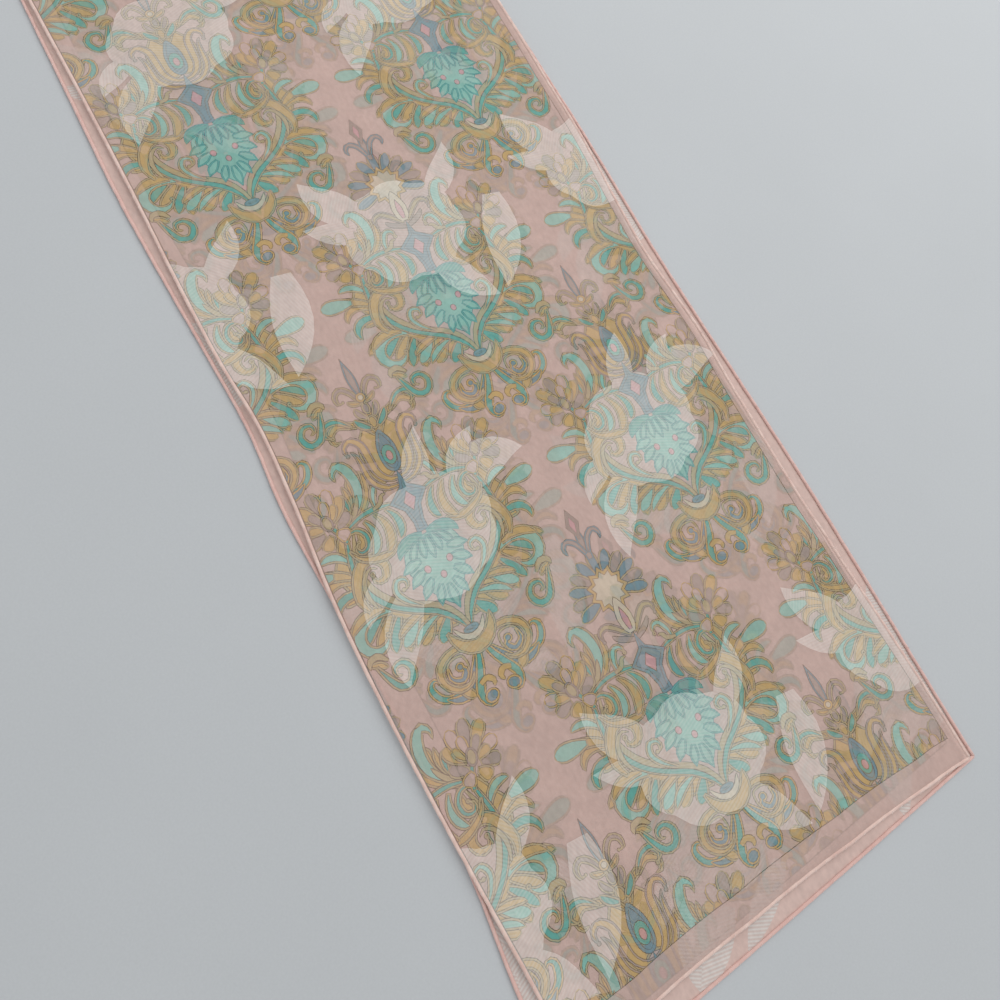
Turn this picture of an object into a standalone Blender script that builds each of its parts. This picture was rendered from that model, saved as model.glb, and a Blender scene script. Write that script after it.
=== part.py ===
"""A long narrow chiffon scarf, folded once across its length and laid flat.

The scarf is one strip of sheer cloth with a rolled hem along every edge. It is folded in
half crosswise, so two layers lie on each other: the lower one flat on the surface, and the
upper one on top of it. The fold lies at +Y and both hemmed ends lie at -Y. The lower layer
shows past the upper one along both sides and at the end.

Metres, +Z up. The origin is the bottom centre of the scarf's box, on the surface.
"""

import math
from collections import namedtuple

import bmesh
import bpy
from mathutils import Vector

# Driving sizes.
CLOTH = 0.0010            # wall of a layer
GAP = 0.0003              # space between neighbouring pieces
HEM_WIDTH = 0.0045        # rolled hem, seen from above
HEM_HEIGHT = 0.0018       # rolled hem, thickness of the roll
FOLD_RADIUS = 0.0030      # outside of the bend
FOLD_OUTER_Y = 0.404      # outermost line of the bend
FOLD_LEAD = 0.0005        # straight run before the bend curves
FOLD_Y = FOLD_OUTER_Y - FOLD_RADIUS - FOLD_LEAD

# How the upper layer stands above the lower one, measured to its underside.
LAYER_REST = CLOTH + GAP
SIDE_RISE = 2 * HEM_HEIGHT + GAP - CLOTH - LAYER_REST
END_RISE = HEM_HEIGHT - CLOTH
FOLD_RISE = 2 * FOLD_RADIUS - CLOTH - LAYER_REST
SIDE_BLEND = 0.018        # strip over which the side hems lift the cloth
END_BLEND = 0.016
FOLD_BLEND = 0.085

# Divisions.
COLUMNS = 13
ROWS = 36
BEND_STEPS = 10

# Outer edges of both layers, from the fold down to the near end.
EdgeRow = namedtuple("EdgeRow", "y upper_left upper_right lower_left lower_right")
EDGE_ROWS = [
    EdgeRow(0.402, -0.1380, 0.1420, -0.1380, 0.1420),
    EdgeRow(0.300, -0.1370, 0.1420, -0.1400, 0.1425),
    EdgeRow(0.200, -0.1350, 0.1420, -0.1415, 0.1430),
    EdgeRow(0.120, -0.1345, 0.1410, -0.1425, 0.1440),
    EdgeRow(0.060, -0.1350, 0.1405, -0.1405, 0.1445),
    EdgeRow(0.005, -0.1340, 0.1365, -0.1380, 0.1435),
    EdgeRow(-0.030, -0.1315, 0.1350, -0.1370, 0.1430),
    EdgeRow(-0.080, -0.1335, 0.1375, -0.1400, 0.1435),
    EdgeRow(-0.140, -0.1385, 0.1365, -0.1385, 0.1450),
    EdgeRow(-0.220, -0.1400, 0.1355, -0.1365, 0.1460),
    EdgeRow(-0.300, -0.1385, 0.1380, -0.1400, 0.1450),
    EdgeRow(-0.350, -0.1370, 0.1390, -0.1450, 0.1440),
    EdgeRow(-0.404, -0.1365, 0.1390, -0.1460, 0.1435),
]

# Outer edge of each near end, by its y at the left side, the middle and the right side.
EndRow = namedtuple("EndRow", "layer left middle right")
END_ROWS = [
    EndRow("upper", -0.3925, -0.3880, -0.3920),
    EndRow("lower", -0.4040, -0.4000, -0.3940),
]

# Largest soft folds of the upper layer: low rounded ridges, each with its middle, the
# direction it runs in (degrees from +X), its length, width and height.
Ridge = namedtuple("Ridge", "name x y angle length width height")
RIDGES = [
    Ridge("left_hem_wave", -0.095, -0.012, 18, 0.070, 0.020, 0.0016),
    Ridge("left_low_wave", -0.100, -0.150, -24, 0.080, 0.026, 0.0012),
    Ridge("right_hem_wave", 0.098, -0.082, 152, 0.070, 0.022, 0.0018),
    Ridge("right_low_wave", 0.102, -0.232, 160, 0.060, 0.020, 0.0014),
    Ridge("right_high_wave", 0.094, 0.118, 30, 0.075, 0.026, 0.0013),
    Ridge("long_swell_low", -0.020, -0.205, 104, 0.150, 0.042, 0.0017),
    Ridge("long_swell_middle", 0.034, 0.062, 76, 0.150, 0.046, 0.0019),
    Ridge("long_swell_high", -0.052, 0.215, 110, 0.120, 0.044, 0.0018),
    Ridge("fold_swell", 0.060, 0.290, 86, 0.080, 0.036, 0.0016),
    Ridge("end_flute_1", -0.092, -0.372, 84, 0.036, 0.016, 0.0011),
    Ridge("end_flute_2", -0.024, -0.368, 95, 0.042, 0.018, 0.0013),
    Ridge("end_flute_3", 0.046, -0.374, 88, 0.034, 0.015, 0.0010),
    Ridge("end_flute_4", 0.104, -0.366, 99, 0.040, 0.017, 0.0012),
]

COLLECTION_NAME = "chiffon_scarf"


def clear_scene():
    """Remove whatever the scene starts with."""
    for item in list(bpy.data.objects):
        bpy.data.objects.remove(item, do_unlink=True)


def ease(value):
    """Smooth step from 0 to 1, level at both ends."""
    value = min(max(value, 0.0), 1.0)
    return value * value * (3.0 - 2.0 * value)


def slope_at(rows, index, column):
    """Slope of one column of the edge table at a row, from its two neighbours."""
    above = rows[max(index - 1, 0)]
    below = rows[min(index + 1, len(rows) - 1)]
    return (getattr(above, column) - getattr(below, column)) / (above.y - below.y)


def edge_x(layer, side, y):
    """X of a layer's outer edge at y, on a smooth curve through the edge table."""
    column = f"{layer}_{side}"
    y = min(max(y, EDGE_ROWS[-1].y), EDGE_ROWS[0].y)
    index = next(i for i, row in enumerate(EDGE_ROWS[1:]) if y >= row.y)
    high, low = EDGE_ROWS[index], EDGE_ROWS[index + 1]
    span = high.y - low.y
    part = (y - low.y) / span
    rise = ease(part)
    value = getattr(low, column) * (1.0 - rise) + getattr(high, column) * rise
    value += span * part * (1.0 - part) ** 2 * slope_at(EDGE_ROWS, index + 1, column)
    value -= span * part ** 2 * (1.0 - part) * slope_at(EDGE_ROWS, index, column)
    return value


def end_y(layer, share):
    """Y of a layer's near end at a share of its width, on an arc through three sizes."""
    row = next(row for row in END_ROWS if row.layer == layer)
    bow = row.middle - (row.left + row.right) / 2.0
    return row.left + (row.right - row.left) * share + 4.0 * bow * share * (1.0 - share)


def ridge_height(ridge, x, y):
    """Height that one soft fold adds at a point."""
    angle = math.radians(ridge.angle)
    dx, dy = x - ridge.x, y - ridge.y
    along = (dx * math.cos(angle) + dy * math.sin(angle)) / ridge.length
    across = (dy * math.cos(angle) - dx * math.sin(angle)) / ridge.width
    return ridge.height * math.exp(-2.0 * along * along - 2.0 * across * across)


def upper_underside(x, y):
    """Height of the upper layer's underside."""
    side_room = min(x - edge_x("upper", "left", y), edge_x("upper", "right", y) - x)
    end_room = y - end_y("upper", 0.5)
    side = SIDE_RISE * (1.0 - ease((side_room - HEM_WIDTH) / SIDE_BLEND))
    end = END_RISE * (1.0 - ease((end_room - HEM_WIDTH) / END_BLEND))
    fold = ease((y - FOLD_Y + FOLD_BLEND) / FOLD_BLEND)
    swell = sum(ridge_height(ridge, x, y) for ridge in RIDGES)
    low = LAYER_REST + max(side, end) + swell
    return low * (1.0 - fold) + (LAYER_REST + FOLD_RISE) * fold


def underside(layer, x, y):
    """Height of a layer's underside: the lower layer is flat on the surface."""
    return upper_underside(x, y) if layer == "upper" else 0.0


def row_levels(layer):
    """Y of the rows that a panel shares with its side hems, from the near end up."""
    start = end_y(layer, 0.5) + 2.5 * HEM_WIDTH
    stop = FOLD_Y - GAP
    return [start + (stop - start) * row / (ROWS - 1) for row in range(ROWS)]


def panel_row(layer, y=None):
    """Points across a panel at one level, or along its near end where y is left out."""
    points = []
    inset = HEM_WIDTH + GAP
    for column in range(COLUMNS + 1):
        share = column / COLUMNS
        level = end_y(layer, share) + inset if y is None else y
        left = edge_x(layer, "left", level) + inset
        right = edge_x(layer, "right", level) - inset
        x = left + (right - left) * share
        points.append(Vector((x, level, underside(layer, x, level))))
    return points


def add_object(name, rows, parts, closed_rows=False):
    """Make one object from rows of points: quads between them, and caps on a tube."""
    mesh = bmesh.new()
    rings = [[mesh.verts.new(point) for point in row] for row in rows]
    count = len(rings[0])
    last = count if closed_rows else count - 1
    for near, far in zip(rings, rings[1:]):
        for i in range(last):
            j = (i + 1) % count
            mesh.faces.new((near[i], near[j], far[j], far[i]))
    if closed_rows:
        mesh.faces.new(rings[0])
        mesh.faces.new(rings[-1])
        bmesh.ops.recalc_face_normals(mesh, faces=mesh.faces)
    data = bpy.data.meshes.new(name)
    mesh.to_mesh(data)
    mesh.free()
    data.shade_smooth()
    item = bpy.data.objects.new(name, data)
    parts.objects.link(item)
    return item


def add_wall(item, offset):
    """Give an open surface the cloth's thickness."""
    wall = item.modifiers.new("cloth", "SOLIDIFY")
    wall.thickness = CLOTH
    wall.offset = offset
    wall.use_even_offset = False


def build_panel(layer, parts):
    """One layer of cloth inside its hems, from the near end up to the fold."""
    rows = [panel_row(layer)]
    rows += [panel_row(layer, y) for y in row_levels(layer)]
    item = add_object(f"{layer}_panel", rows, parts)
    add_wall(item, 1.0)
    return item


def build_fold(parts):
    """The bend at the far end, where the lower layer turns over into the upper one."""
    rows = []
    lower = panel_row("lower", FOLD_Y)
    for y, z in bend_path(0.0):
        rows.append([Vector((point.x, y, z)) for point in lower])
    item = add_object("fold_bend", rows, parts)
    add_wall(item, 1.0)
    return item


def bend_path(depth):
    """(y, z) points round the bend at a depth below its outer face."""
    centre_y = FOLD_Y + FOLD_LEAD
    radius = FOLD_RADIUS - depth
    path = [(FOLD_Y, FOLD_RADIUS - radius)]
    for step in range(BEND_STEPS + 1):
        angle = math.pi * (step / BEND_STEPS - 0.5)
        path.append((centre_y + radius * math.cos(angle), FOLD_RADIUS + radius * math.sin(angle)))
    path.append((FOLD_Y, FOLD_RADIUS + radius))
    return path


def hem_profile():
    """Rounded section of a rolled hem: distance in from the edge, and depth of the roll."""
    wide, tall = HEM_WIDTH, HEM_HEIGHT
    return [
        (0.20 * wide, 0.0), (0.80 * wide, 0.0),
        (wide, 0.30 * tall), (wide, 0.70 * tall),
        (0.80 * wide, tall), (0.20 * wide, tall),
        (0.0, 0.70 * tall), (0.0, 0.30 * tall),
    ]


def hem_base(layer, x, y):
    """Height of a hem's underside: flush with the outer face of its layer."""
    if layer == "lower":
        return 0.0
    return upper_underside(x, y) + CLOTH - HEM_HEIGHT


def build_side_hem(layer, side, parts):
    """The rolled hem along one side of a layer."""
    inward = 1.0 if side == "left" else -1.0
    share = 0.0 if side == "left" else 1.0
    corner = end_y(layer, share)
    levels = [corner, corner + HEM_WIDTH + GAP] + row_levels(layer)
    rows = []
    for y in levels:
        edge = edge_x(layer, side, y)
        base = hem_base(layer, edge + inward * (HEM_WIDTH + GAP), y)
        rows.append([Vector((edge + inward * a, y, base + b)) for a, b in hem_profile()])
    return add_object(f"{layer}_hem_{side}", rows, parts, closed_rows=True)


def build_end_hem(layer, parts):
    """The rolled hem along a layer's near end, between its two side hems."""
    rows = []
    for column, point in enumerate(panel_row(layer)):
        edge = end_y(layer, column / COLUMNS)
        base = hem_base(layer, point.x, point.y)
        rows.append([Vector((point.x, edge + a, base + b)) for a, b in hem_profile()])
    return add_object(f"{layer}_hem_end", rows, parts, closed_rows=True)


def build_fold_hem(side, parts):
    """The rolled hem where it turns round the fold."""
    inward = 1.0 if side == "left" else -1.0
    edge = edge_x("lower", side, FOLD_Y)
    profile = hem_profile()
    paths = [bend_path(depth) for _, depth in profile]
    rows = []
    for step in range(len(paths[0])):
        ring = []
        for (a, _), path in zip(profile, paths):
            y, z = path[step]
            ring.append(Vector((edge + inward * a, y, z)))
        rows.append(ring)
    return add_object(f"fold_hem_{side}", rows, parts, closed_rows=True)


def finish_material(name, colour, roughness):
    """A plain cloth finish."""
    material = bpy.data.materials.new(name)
    material.use_nodes = True
    shader = material.node_tree.nodes["Principled BSDF"]
    shader.inputs["Base Color"].default_value = (*colour, 1.0)
    shader.inputs["Roughness"].default_value = roughness
    shader.inputs["Metallic"].default_value = 0.0
    return material


def main():
    """Build the scarf's pieces and give each its own finish."""
    clear_scene()
    parts = bpy.data.collections.new(COLLECTION_NAME)
    bpy.context.scene.collection.children.link(parts)
    for layer in ("lower", "upper"):
        panel = build_panel(layer, parts)
        panel.data.materials.append(finish_material(f"{layer}_chiffon", (0.60, 0.40, 0.35), 0.75))
        hems = [build_side_hem(layer, side, parts) for side in ("left", "right")]
        hems.append(build_end_hem(layer, parts))
        for hem in hems:
            hem.data.materials.append(finish_material(f"{hem.name}_roll", (0.74, 0.46, 0.43), 0.70))
    fold = build_fold(parts)
    fold.data.materials.append(finish_material("fold_chiffon", (0.60, 0.40, 0.35), 0.75))
    for side in ("left", "right"):
        hem = build_fold_hem(side, parts)
        hem.data.materials.append(finish_material(f"{hem.name}_roll", (0.74, 0.46, 0.43), 0.70))


main()
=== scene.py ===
"""Chiffon scarf, folded in half and lying flat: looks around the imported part."""
import logging
import math
from collections.abc import Callable
from dataclasses import dataclass, field, replace
from enum import Enum
from itertools import zip_longest
from typing import ClassVar

import bpy
import numpy as np
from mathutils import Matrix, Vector, noise
from mathutils.bvhtree import BVHTree
from mathutils.geometry import delaunay_2d_cdt


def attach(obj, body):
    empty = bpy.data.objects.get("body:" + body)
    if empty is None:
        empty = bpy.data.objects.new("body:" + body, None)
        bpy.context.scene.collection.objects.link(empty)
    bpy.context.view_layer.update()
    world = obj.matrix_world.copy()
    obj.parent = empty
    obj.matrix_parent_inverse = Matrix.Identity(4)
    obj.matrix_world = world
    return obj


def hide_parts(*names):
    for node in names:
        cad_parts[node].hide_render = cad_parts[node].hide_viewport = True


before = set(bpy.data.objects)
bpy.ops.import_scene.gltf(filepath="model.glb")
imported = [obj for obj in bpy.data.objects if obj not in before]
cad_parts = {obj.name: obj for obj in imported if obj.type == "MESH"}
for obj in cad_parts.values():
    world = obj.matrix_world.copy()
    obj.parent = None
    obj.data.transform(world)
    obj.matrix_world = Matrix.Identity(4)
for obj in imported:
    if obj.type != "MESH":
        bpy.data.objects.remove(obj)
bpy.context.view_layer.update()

LOG = logging.getLogger("scarf")
MM = 0.001
Point = tuple[float, float]
Ring = tuple[Point, ...]
Colour = tuple[float, float, float]

# Printed lines and strokes, in millimetres or as shares.
LINE_OUTSIDE = 0.22       # an outline's reach outside a motif's edge
LINE_INSIDE = 0.16        # and inside it
RIM_LINE = 0.28           # the line between a motif's rim and its fill
LEAST_FILL = 0.62         # room that a stroke needs inside its rim to be filled
LEAST_HALF = 0.02         # half width below which a band has ended
PROBES = 60               # places along a stroke where a band's width is tried
LEAST_PROBES = 8          # a band that fits at fewer of them is left out
TIP_GAP = 0.7             # how far a band stays from the tip, as a share of its inset
ROOT_GAP = 0.8            # and from the root
TIP_CROWDING = 1.25       # above 1, cross sections lie closer together near the tip
BLUNT = 0.2               # a tip narrower than this is one point
LEAST_OVAL = 0.35         # half width below which an oval's band is left out
SMALL_OVAL = 4.0          # an oval below this half length has fewer points
SHARPEST_CORNER = 0.45    # limit on how far a corner moves when a band is drawn inside it
LONGEST_RUN = 6.0         # longest straight run that an outline is simplified to
PASSES = 5                # rounds of that simplification


# ------------------------------------------------------------------ print inks


class Ink(Enum):
    """Every colour that the print shows, the bare ground among them."""

    GROUND = "ground"
    LINE = "line"
    OLIVE = "olive"
    OCHRE = "ochre"
    TEAL = "teal"
    AQUA = "aqua"
    SLATE = "slate"
    MAUVE = "mauve"
    CREAM = "cream"
    ROSE = "rose"
    DEEP = "deep"


@dataclass(frozen=True)
class Band:
    """One printed band of a motif: how far inside the outline it starts, and its ink."""

    level: int
    inset: float
    ink: Ink


@dataclass(frozen=True)
class Contour:
    """A closed shape of one ink, in millimetres, with its place in the printing order."""

    level: int
    ink: Ink
    points: Ring


def nested(
    body: Ink, fill: Ink | None, rim: float = 0.95, lift: int = 0, line: Ink = Ink.LINE
) -> tuple[Band, ...]:
    """Bands of a motif that is outlined, filled, and outlined again inside its rim.

    Args:
        body: Ink of the rim, or of the whole shape where nothing fills it.
        fill: Ink inside the second outline, if there is one.
        rim: Width of the rim in millimetres.
        lift: Printing level of the outermost outline.
        line: Ink of both outlines.

    Returns:
        The bands, outermost first.
    """
    bands = [Band(lift, -LINE_OUTSIDE, line), Band(lift, LINE_INSIDE, body)]
    if fill is not None:
        bands += [Band(lift, rim, line), Band(lift, rim + RIM_LINE, fill)]
    return tuple(bands)


class Look(Enum):
    """Named ways in which a motif is coloured."""

    MASS = nested(Ink.OLIVE, Ink.OCHRE, 1.1)
    TEAL_LEAF = nested(Ink.OLIVE, Ink.TEAL)
    AQUA_LEAF = nested(Ink.OLIVE, Ink.AQUA)
    OCHRE_LEAF = nested(Ink.OLIVE, Ink.OCHRE)
    SLATE_LEAF = nested(Ink.OLIVE, Ink.SLATE)
    MAUVE_LEAF = nested(Ink.OLIVE, Ink.MAUVE)
    BROWN_LEAF = nested(Ink.MAUVE, Ink.OCHRE, 0.8)
    GREEN_STEM = nested(Ink.OLIVE, Ink.TEAL, 0.7)
    MAUVE_CURL = nested(Ink.MAUVE, Ink.OLIVE, 0.8)
    GREY_CURL = nested(Ink.SLATE, Ink.MAUVE, 0.9)
    OPEN_CURL = nested(Ink.OLIVE, Ink.GROUND, 1.1)
    SLATE_SCROLL = nested(Ink.OCHRE, Ink.SLATE, 0.9)
    TEAL_SCROLL = nested(Ink.OCHRE, Ink.TEAL, 0.9)
    BUD_LEAF = nested(Ink.OCHRE, Ink.GROUND, 0.9)
    CUP = nested(Ink.OLIVE, Ink.OCHRE, 1.0, 4)
    OCHRE_STAR = nested(Ink.OCHRE, Ink.CREAM, 1.6, 4)
    FLOWER_BODY = nested(Ink.AQUA, None, 0.9, 4, Ink.DEEP)
    PETAL = nested(Ink.TEAL, Ink.AQUA, 0.8, 8, Ink.DEEP)
    PETAL_DEEP = nested(Ink.TEAL, Ink.TEAL, 0.9, 8, Ink.DEEP)
    SLATE_OVER = nested(Ink.SLATE, Ink.SLATE, 1.6, 8)
    CREAM_OVER = nested(Ink.CREAM, None, 0.9, 8)
    OCHRE_OVER = nested(Ink.OCHRE, Ink.CREAM, 1.2, 8)
    MAUVE_OVER = nested(Ink.MAUVE, Ink.MAUVE, 0.9, 8)
    ROSE_LEAF = nested(Ink.ROSE, None, 0.8, 12)
    TEAL_OVER = nested(Ink.TEAL, None, 0.9, 12)
    ROSE_OVER = nested(Ink.ROSE, None, 0.9, 16)


# ---------------------------------------------------------------- print shapes


def rounded(points: list[Point], closed: bool, steps: int) -> list[Point]:
    """Rounds a run of points with a curve through each of them.

    Args:
        points: The points to pass through.
        closed: Whether the last point leads back to the first.
        steps: Points put in for each one given.

    Returns:
        The rounded run.
    """
    count = len(points)
    run = []
    for i in range(count if closed else count - 1):
        if closed:
            near = [points[(i + k) % count] for k in (-1, 0, 1, 2)]
        else:
            near = [points[min(count - 1, max(0, i + k))] for k in (-1, 0, 1, 2)]
        for step in range(steps):
            t = step / steps
            run.append(
                tuple(
                    0.5 * (2 * b + (c - a) * t + (2 * a - 5 * b + 4 * c - d) * t * t
                           + (3 * b - a - 3 * c + d) * t**3)
                    for a, b, c, d in zip(*near, strict=True)
                )
            )
    return run if closed else [*run, points[-1]]


class Stroke:
    """A brush stroke of changing width: the base of fronds and vines."""

    width: float
    look: Look
    root: float
    peak: float
    taper: float
    bulb: float

    def line(self) -> list[Point]:
        """The stroke's centre line, from root to tip."""
        raise NotImplementedError

    def stations(self) -> int:
        """How many cross sections the outline needs."""
        raise NotImplementedError

    def half(self, share: float) -> float:
        """Half the stroke's width at a place along it.

        Args:
            share: The place, as a share of the stroke's length.

        Returns:
            Half the width, which grows from the root to the peak and then tapers off.
        """
        if share < self.peak:
            rise = math.sin(math.pi / 2 * share / self.peak)
            return self.width * (self.root + (1 - self.root) * rise)
        fall = (share - self.peak) / (1 - self.peak)
        return self.width * max(0.0, math.cos(math.pi / 2 * fall)) ** self.taper

    def contours(self) -> list[Contour]:
        """The outlines of the stroke's bands, outermost first.

        Returns:
            One contour for each band that fits inside the stroke.
        """
        line = np.array(self.line())
        steps = np.diff(line, axis=0)
        reach = np.concatenate([[0.0], np.cumsum(np.hypot(*steps.T))])
        angles = np.unwrap(np.arctan2(steps[:, 1], steps[:, 0]))
        middles = (reach[1:] + reach[:-1]) / 2
        length = float(reach[-1])
        made, bands = [], self.look.value
        if self.width < bands[-1].inset + LEAST_FILL:
            bands = bands[:2]
        shares = [i / PROBES for i in range(PROBES + 1)]
        for band in bands:
            fits = [share for share in shares if self.half(share) > band.inset + LEAST_HALF]
            if len(fits) < LEAST_PROBES:
                continue
            high = min(1.0, fits[-1] + 1 / PROBES, 1 - band.inset * TIP_GAP / length)
            low = max(fits[0], band.inset / length * ROOT_GAP) if band.inset > 0 else 0.0
            left, right = [], []
            for i in range(self.stations() + 1):
                share = low + (high - low) * (1 - (1 - i / self.stations()) ** TIP_CROWDING)
                x, y = (float(np.interp(share * length, reach, axis)) for axis in line.T)
                turn = float(np.interp(share * length, middles, angles))
                w = max(0.0, self.half(share) - band.inset)
                left.append((x - math.sin(turn) * w, y + math.cos(turn) * w))
                right.append((x + math.sin(turn) * w, y - math.cos(turn) * w))
            if self.half(high) - band.inset < BLUNT:
                right.pop()
            made.append(Contour(band.level, band.ink, tuple(left + right[::-1])))
        if self.bulb:
            tip = line[-1]
            ball = Blob(float(tip[0]), float(tip[1]), self.bulb, self.bulb, 0, self.look).contours()
            made = [c for pair in zip_longest(made, ball) for c in pair if c]
        return made


@dataclass(frozen=True)
class Frond(Stroke):
    """A leaf that leaves a point at a heading and turns more and more towards its tip."""

    x: float
    y: float
    heading: float
    length: float
    turn: float
    width: float
    look: Look = Look.TEAL_LEAF
    curl: float = 1.4
    root: float = 0.4
    peak: float = 0.55
    taper: float = 0.5
    bulb: float = 0.0
    steps: int = 26
    turn_each: float = 46.0
    length_each: float = 18.0

    def line(self) -> list[Point]:
        """The leaf's centre line, from root to tip.

        Returns:
            Its points, an even pace apart.
        """
        pace = self.length / self.steps
        run = [(self.x, self.y)]
        for i in range(self.steps):
            angle = math.radians(self.heading + self.turn * ((i + 0.5) / self.steps) ** self.curl)
            x, y = run[-1]
            run.append((x + math.cos(angle) * pace, y + math.sin(angle) * pace))
        return run

    def stations(self) -> int:
        """More cross sections for a longer leaf and for a tighter curl."""
        return 5 + int(abs(self.turn) / self.turn_each) + int(self.length / self.length_each)


@dataclass(frozen=True)
class Vine(Stroke):
    """A stroke through given points: a stem or a scroll."""

    points: Ring
    width: float
    look: Look = Look.TEAL_LEAF
    root: float = 0.6
    peak: float = 0.5
    taper: float = 0.5
    bulb: float = 0.0

    def line(self) -> list[Point]:
        """The vine's centre line, rounded through its points."""
        return rounded(list(self.points), False, 6)

    def stations(self) -> int:
        """Cross sections in step with the number of points."""
        return 1 + int(1.9 * len(self.points))


@dataclass(frozen=True)
class Blob:
    """An oval."""

    x: float
    y: float
    across: float
    along: float
    tilt: float = 0.0
    look: Look = Look.TEAL_LEAF

    def contours(self) -> list[Contour]:
        """The outlines of the oval's bands, outermost first.

        Returns:
            One contour for each band that fits inside the oval.
        """
        made = []
        cosine, sine = math.cos(math.radians(self.tilt)), math.sin(math.radians(self.tilt))
        for band in self.look.value:
            a, b = self.across - band.inset, self.along - band.inset
            if min(a, b) < LEAST_OVAL:
                continue
            count = 9 if max(a, b) < SMALL_OVAL else 14
            ring = []
            for i in range(count):
                px = a * math.cos(2 * math.pi * i / count)
                py = b * math.sin(2 * math.pi * i / count)
                ring.append((self.x + px * cosine - py * sine, self.y + px * sine + py * cosine))
            made.append(Contour(band.level, band.ink, tuple(ring)))
        return made


@dataclass(frozen=True)
class Patch:
    """A closed shape through given points, rounded or with straight sides."""

    points: Ring
    look: Look = Look.MASS
    smooth: bool = True

    def contours(self) -> list[Contour]:
        """The outlines of the patch's bands, outermost first.

        Returns:
            One contour for each band, moved inwards by the band's inset.
        """
        ring = rounded(list(self.points), True, 3) if self.smooth else list(self.points)
        ahead = ring[1:] + ring[:1]
        turns = sum(a[0] * b[1] - b[0] * a[1] for a, b in zip(ring, ahead, strict=True))
        side = 1 if turns > 0 else -1
        made = []
        for band in self.look.value:
            moved = []
            for i, (x, y) in enumerate(ring):
                before, after = Vector(ring[i - 1]), Vector(ahead[i])
                one = (Vector((x, y)) - before).normalized()
                two = (after - Vector((x, y))).normalized()
                out = Vector((-one.y - two.y, one.x + two.x)).normalized()
                reach = band.inset * side / max(SHARPEST_CORNER, out.x * -one.y + out.y * one.x)
                moved.append((x + out.x * reach, y + out.y * reach))
            made.append(Contour(band.level, band.ink, tuple(moved)))
        return made


def fan(
    count: int, start: Point, end: Point, headings: Point, lengths: Point, turn: float, width: float,
    looks: tuple[Look, ...], root: float = 0.45,
) -> list[Frond]:
    """A row of leaves whose roots lie on a line.

    Args:
        count: Number of leaves.
        start: Root of the first leaf.
        end: Root of the last leaf.
        headings: Direction of the first and last leaf, in degrees.
        lengths: Length of the first and last leaf.
        turn: How far each leaf turns to its tip, in degrees.
        width: Half width of a leaf.
        looks: Colourings, used in turn.
        root: Width at the root as a share of the width.

    Returns:
        The leaves, in order.
    """
    made = []
    for i in range(count):
        share = i / (count - 1)
        x, y, heading, length = (
            a + (b - a) * share
            for a, b in ((start[0], end[0]), (start[1], end[1]), headings, lengths)
        )
        look = looks[i % len(looks)]
        made.append(Frond(x, y, heading, length, turn, width, look, 1.2, root, 0.66))
    return made


def mirrored(contours: list[Contour]) -> list[Contour]:
    """The same contours on the other side of the motif's middle line."""
    return [replace(c, points=tuple((-x, y) for x, y in reversed(c.points))) for c in contours]


# -------------------------------------------------------------- the medallion


class Crown(Enum):
    """What stands above a medallion's diamond."""

    EYE = "eye"
    ROSETTE = "rosette"


Half = list[Frond | Vine | Blob | Patch]
L = Look


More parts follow.
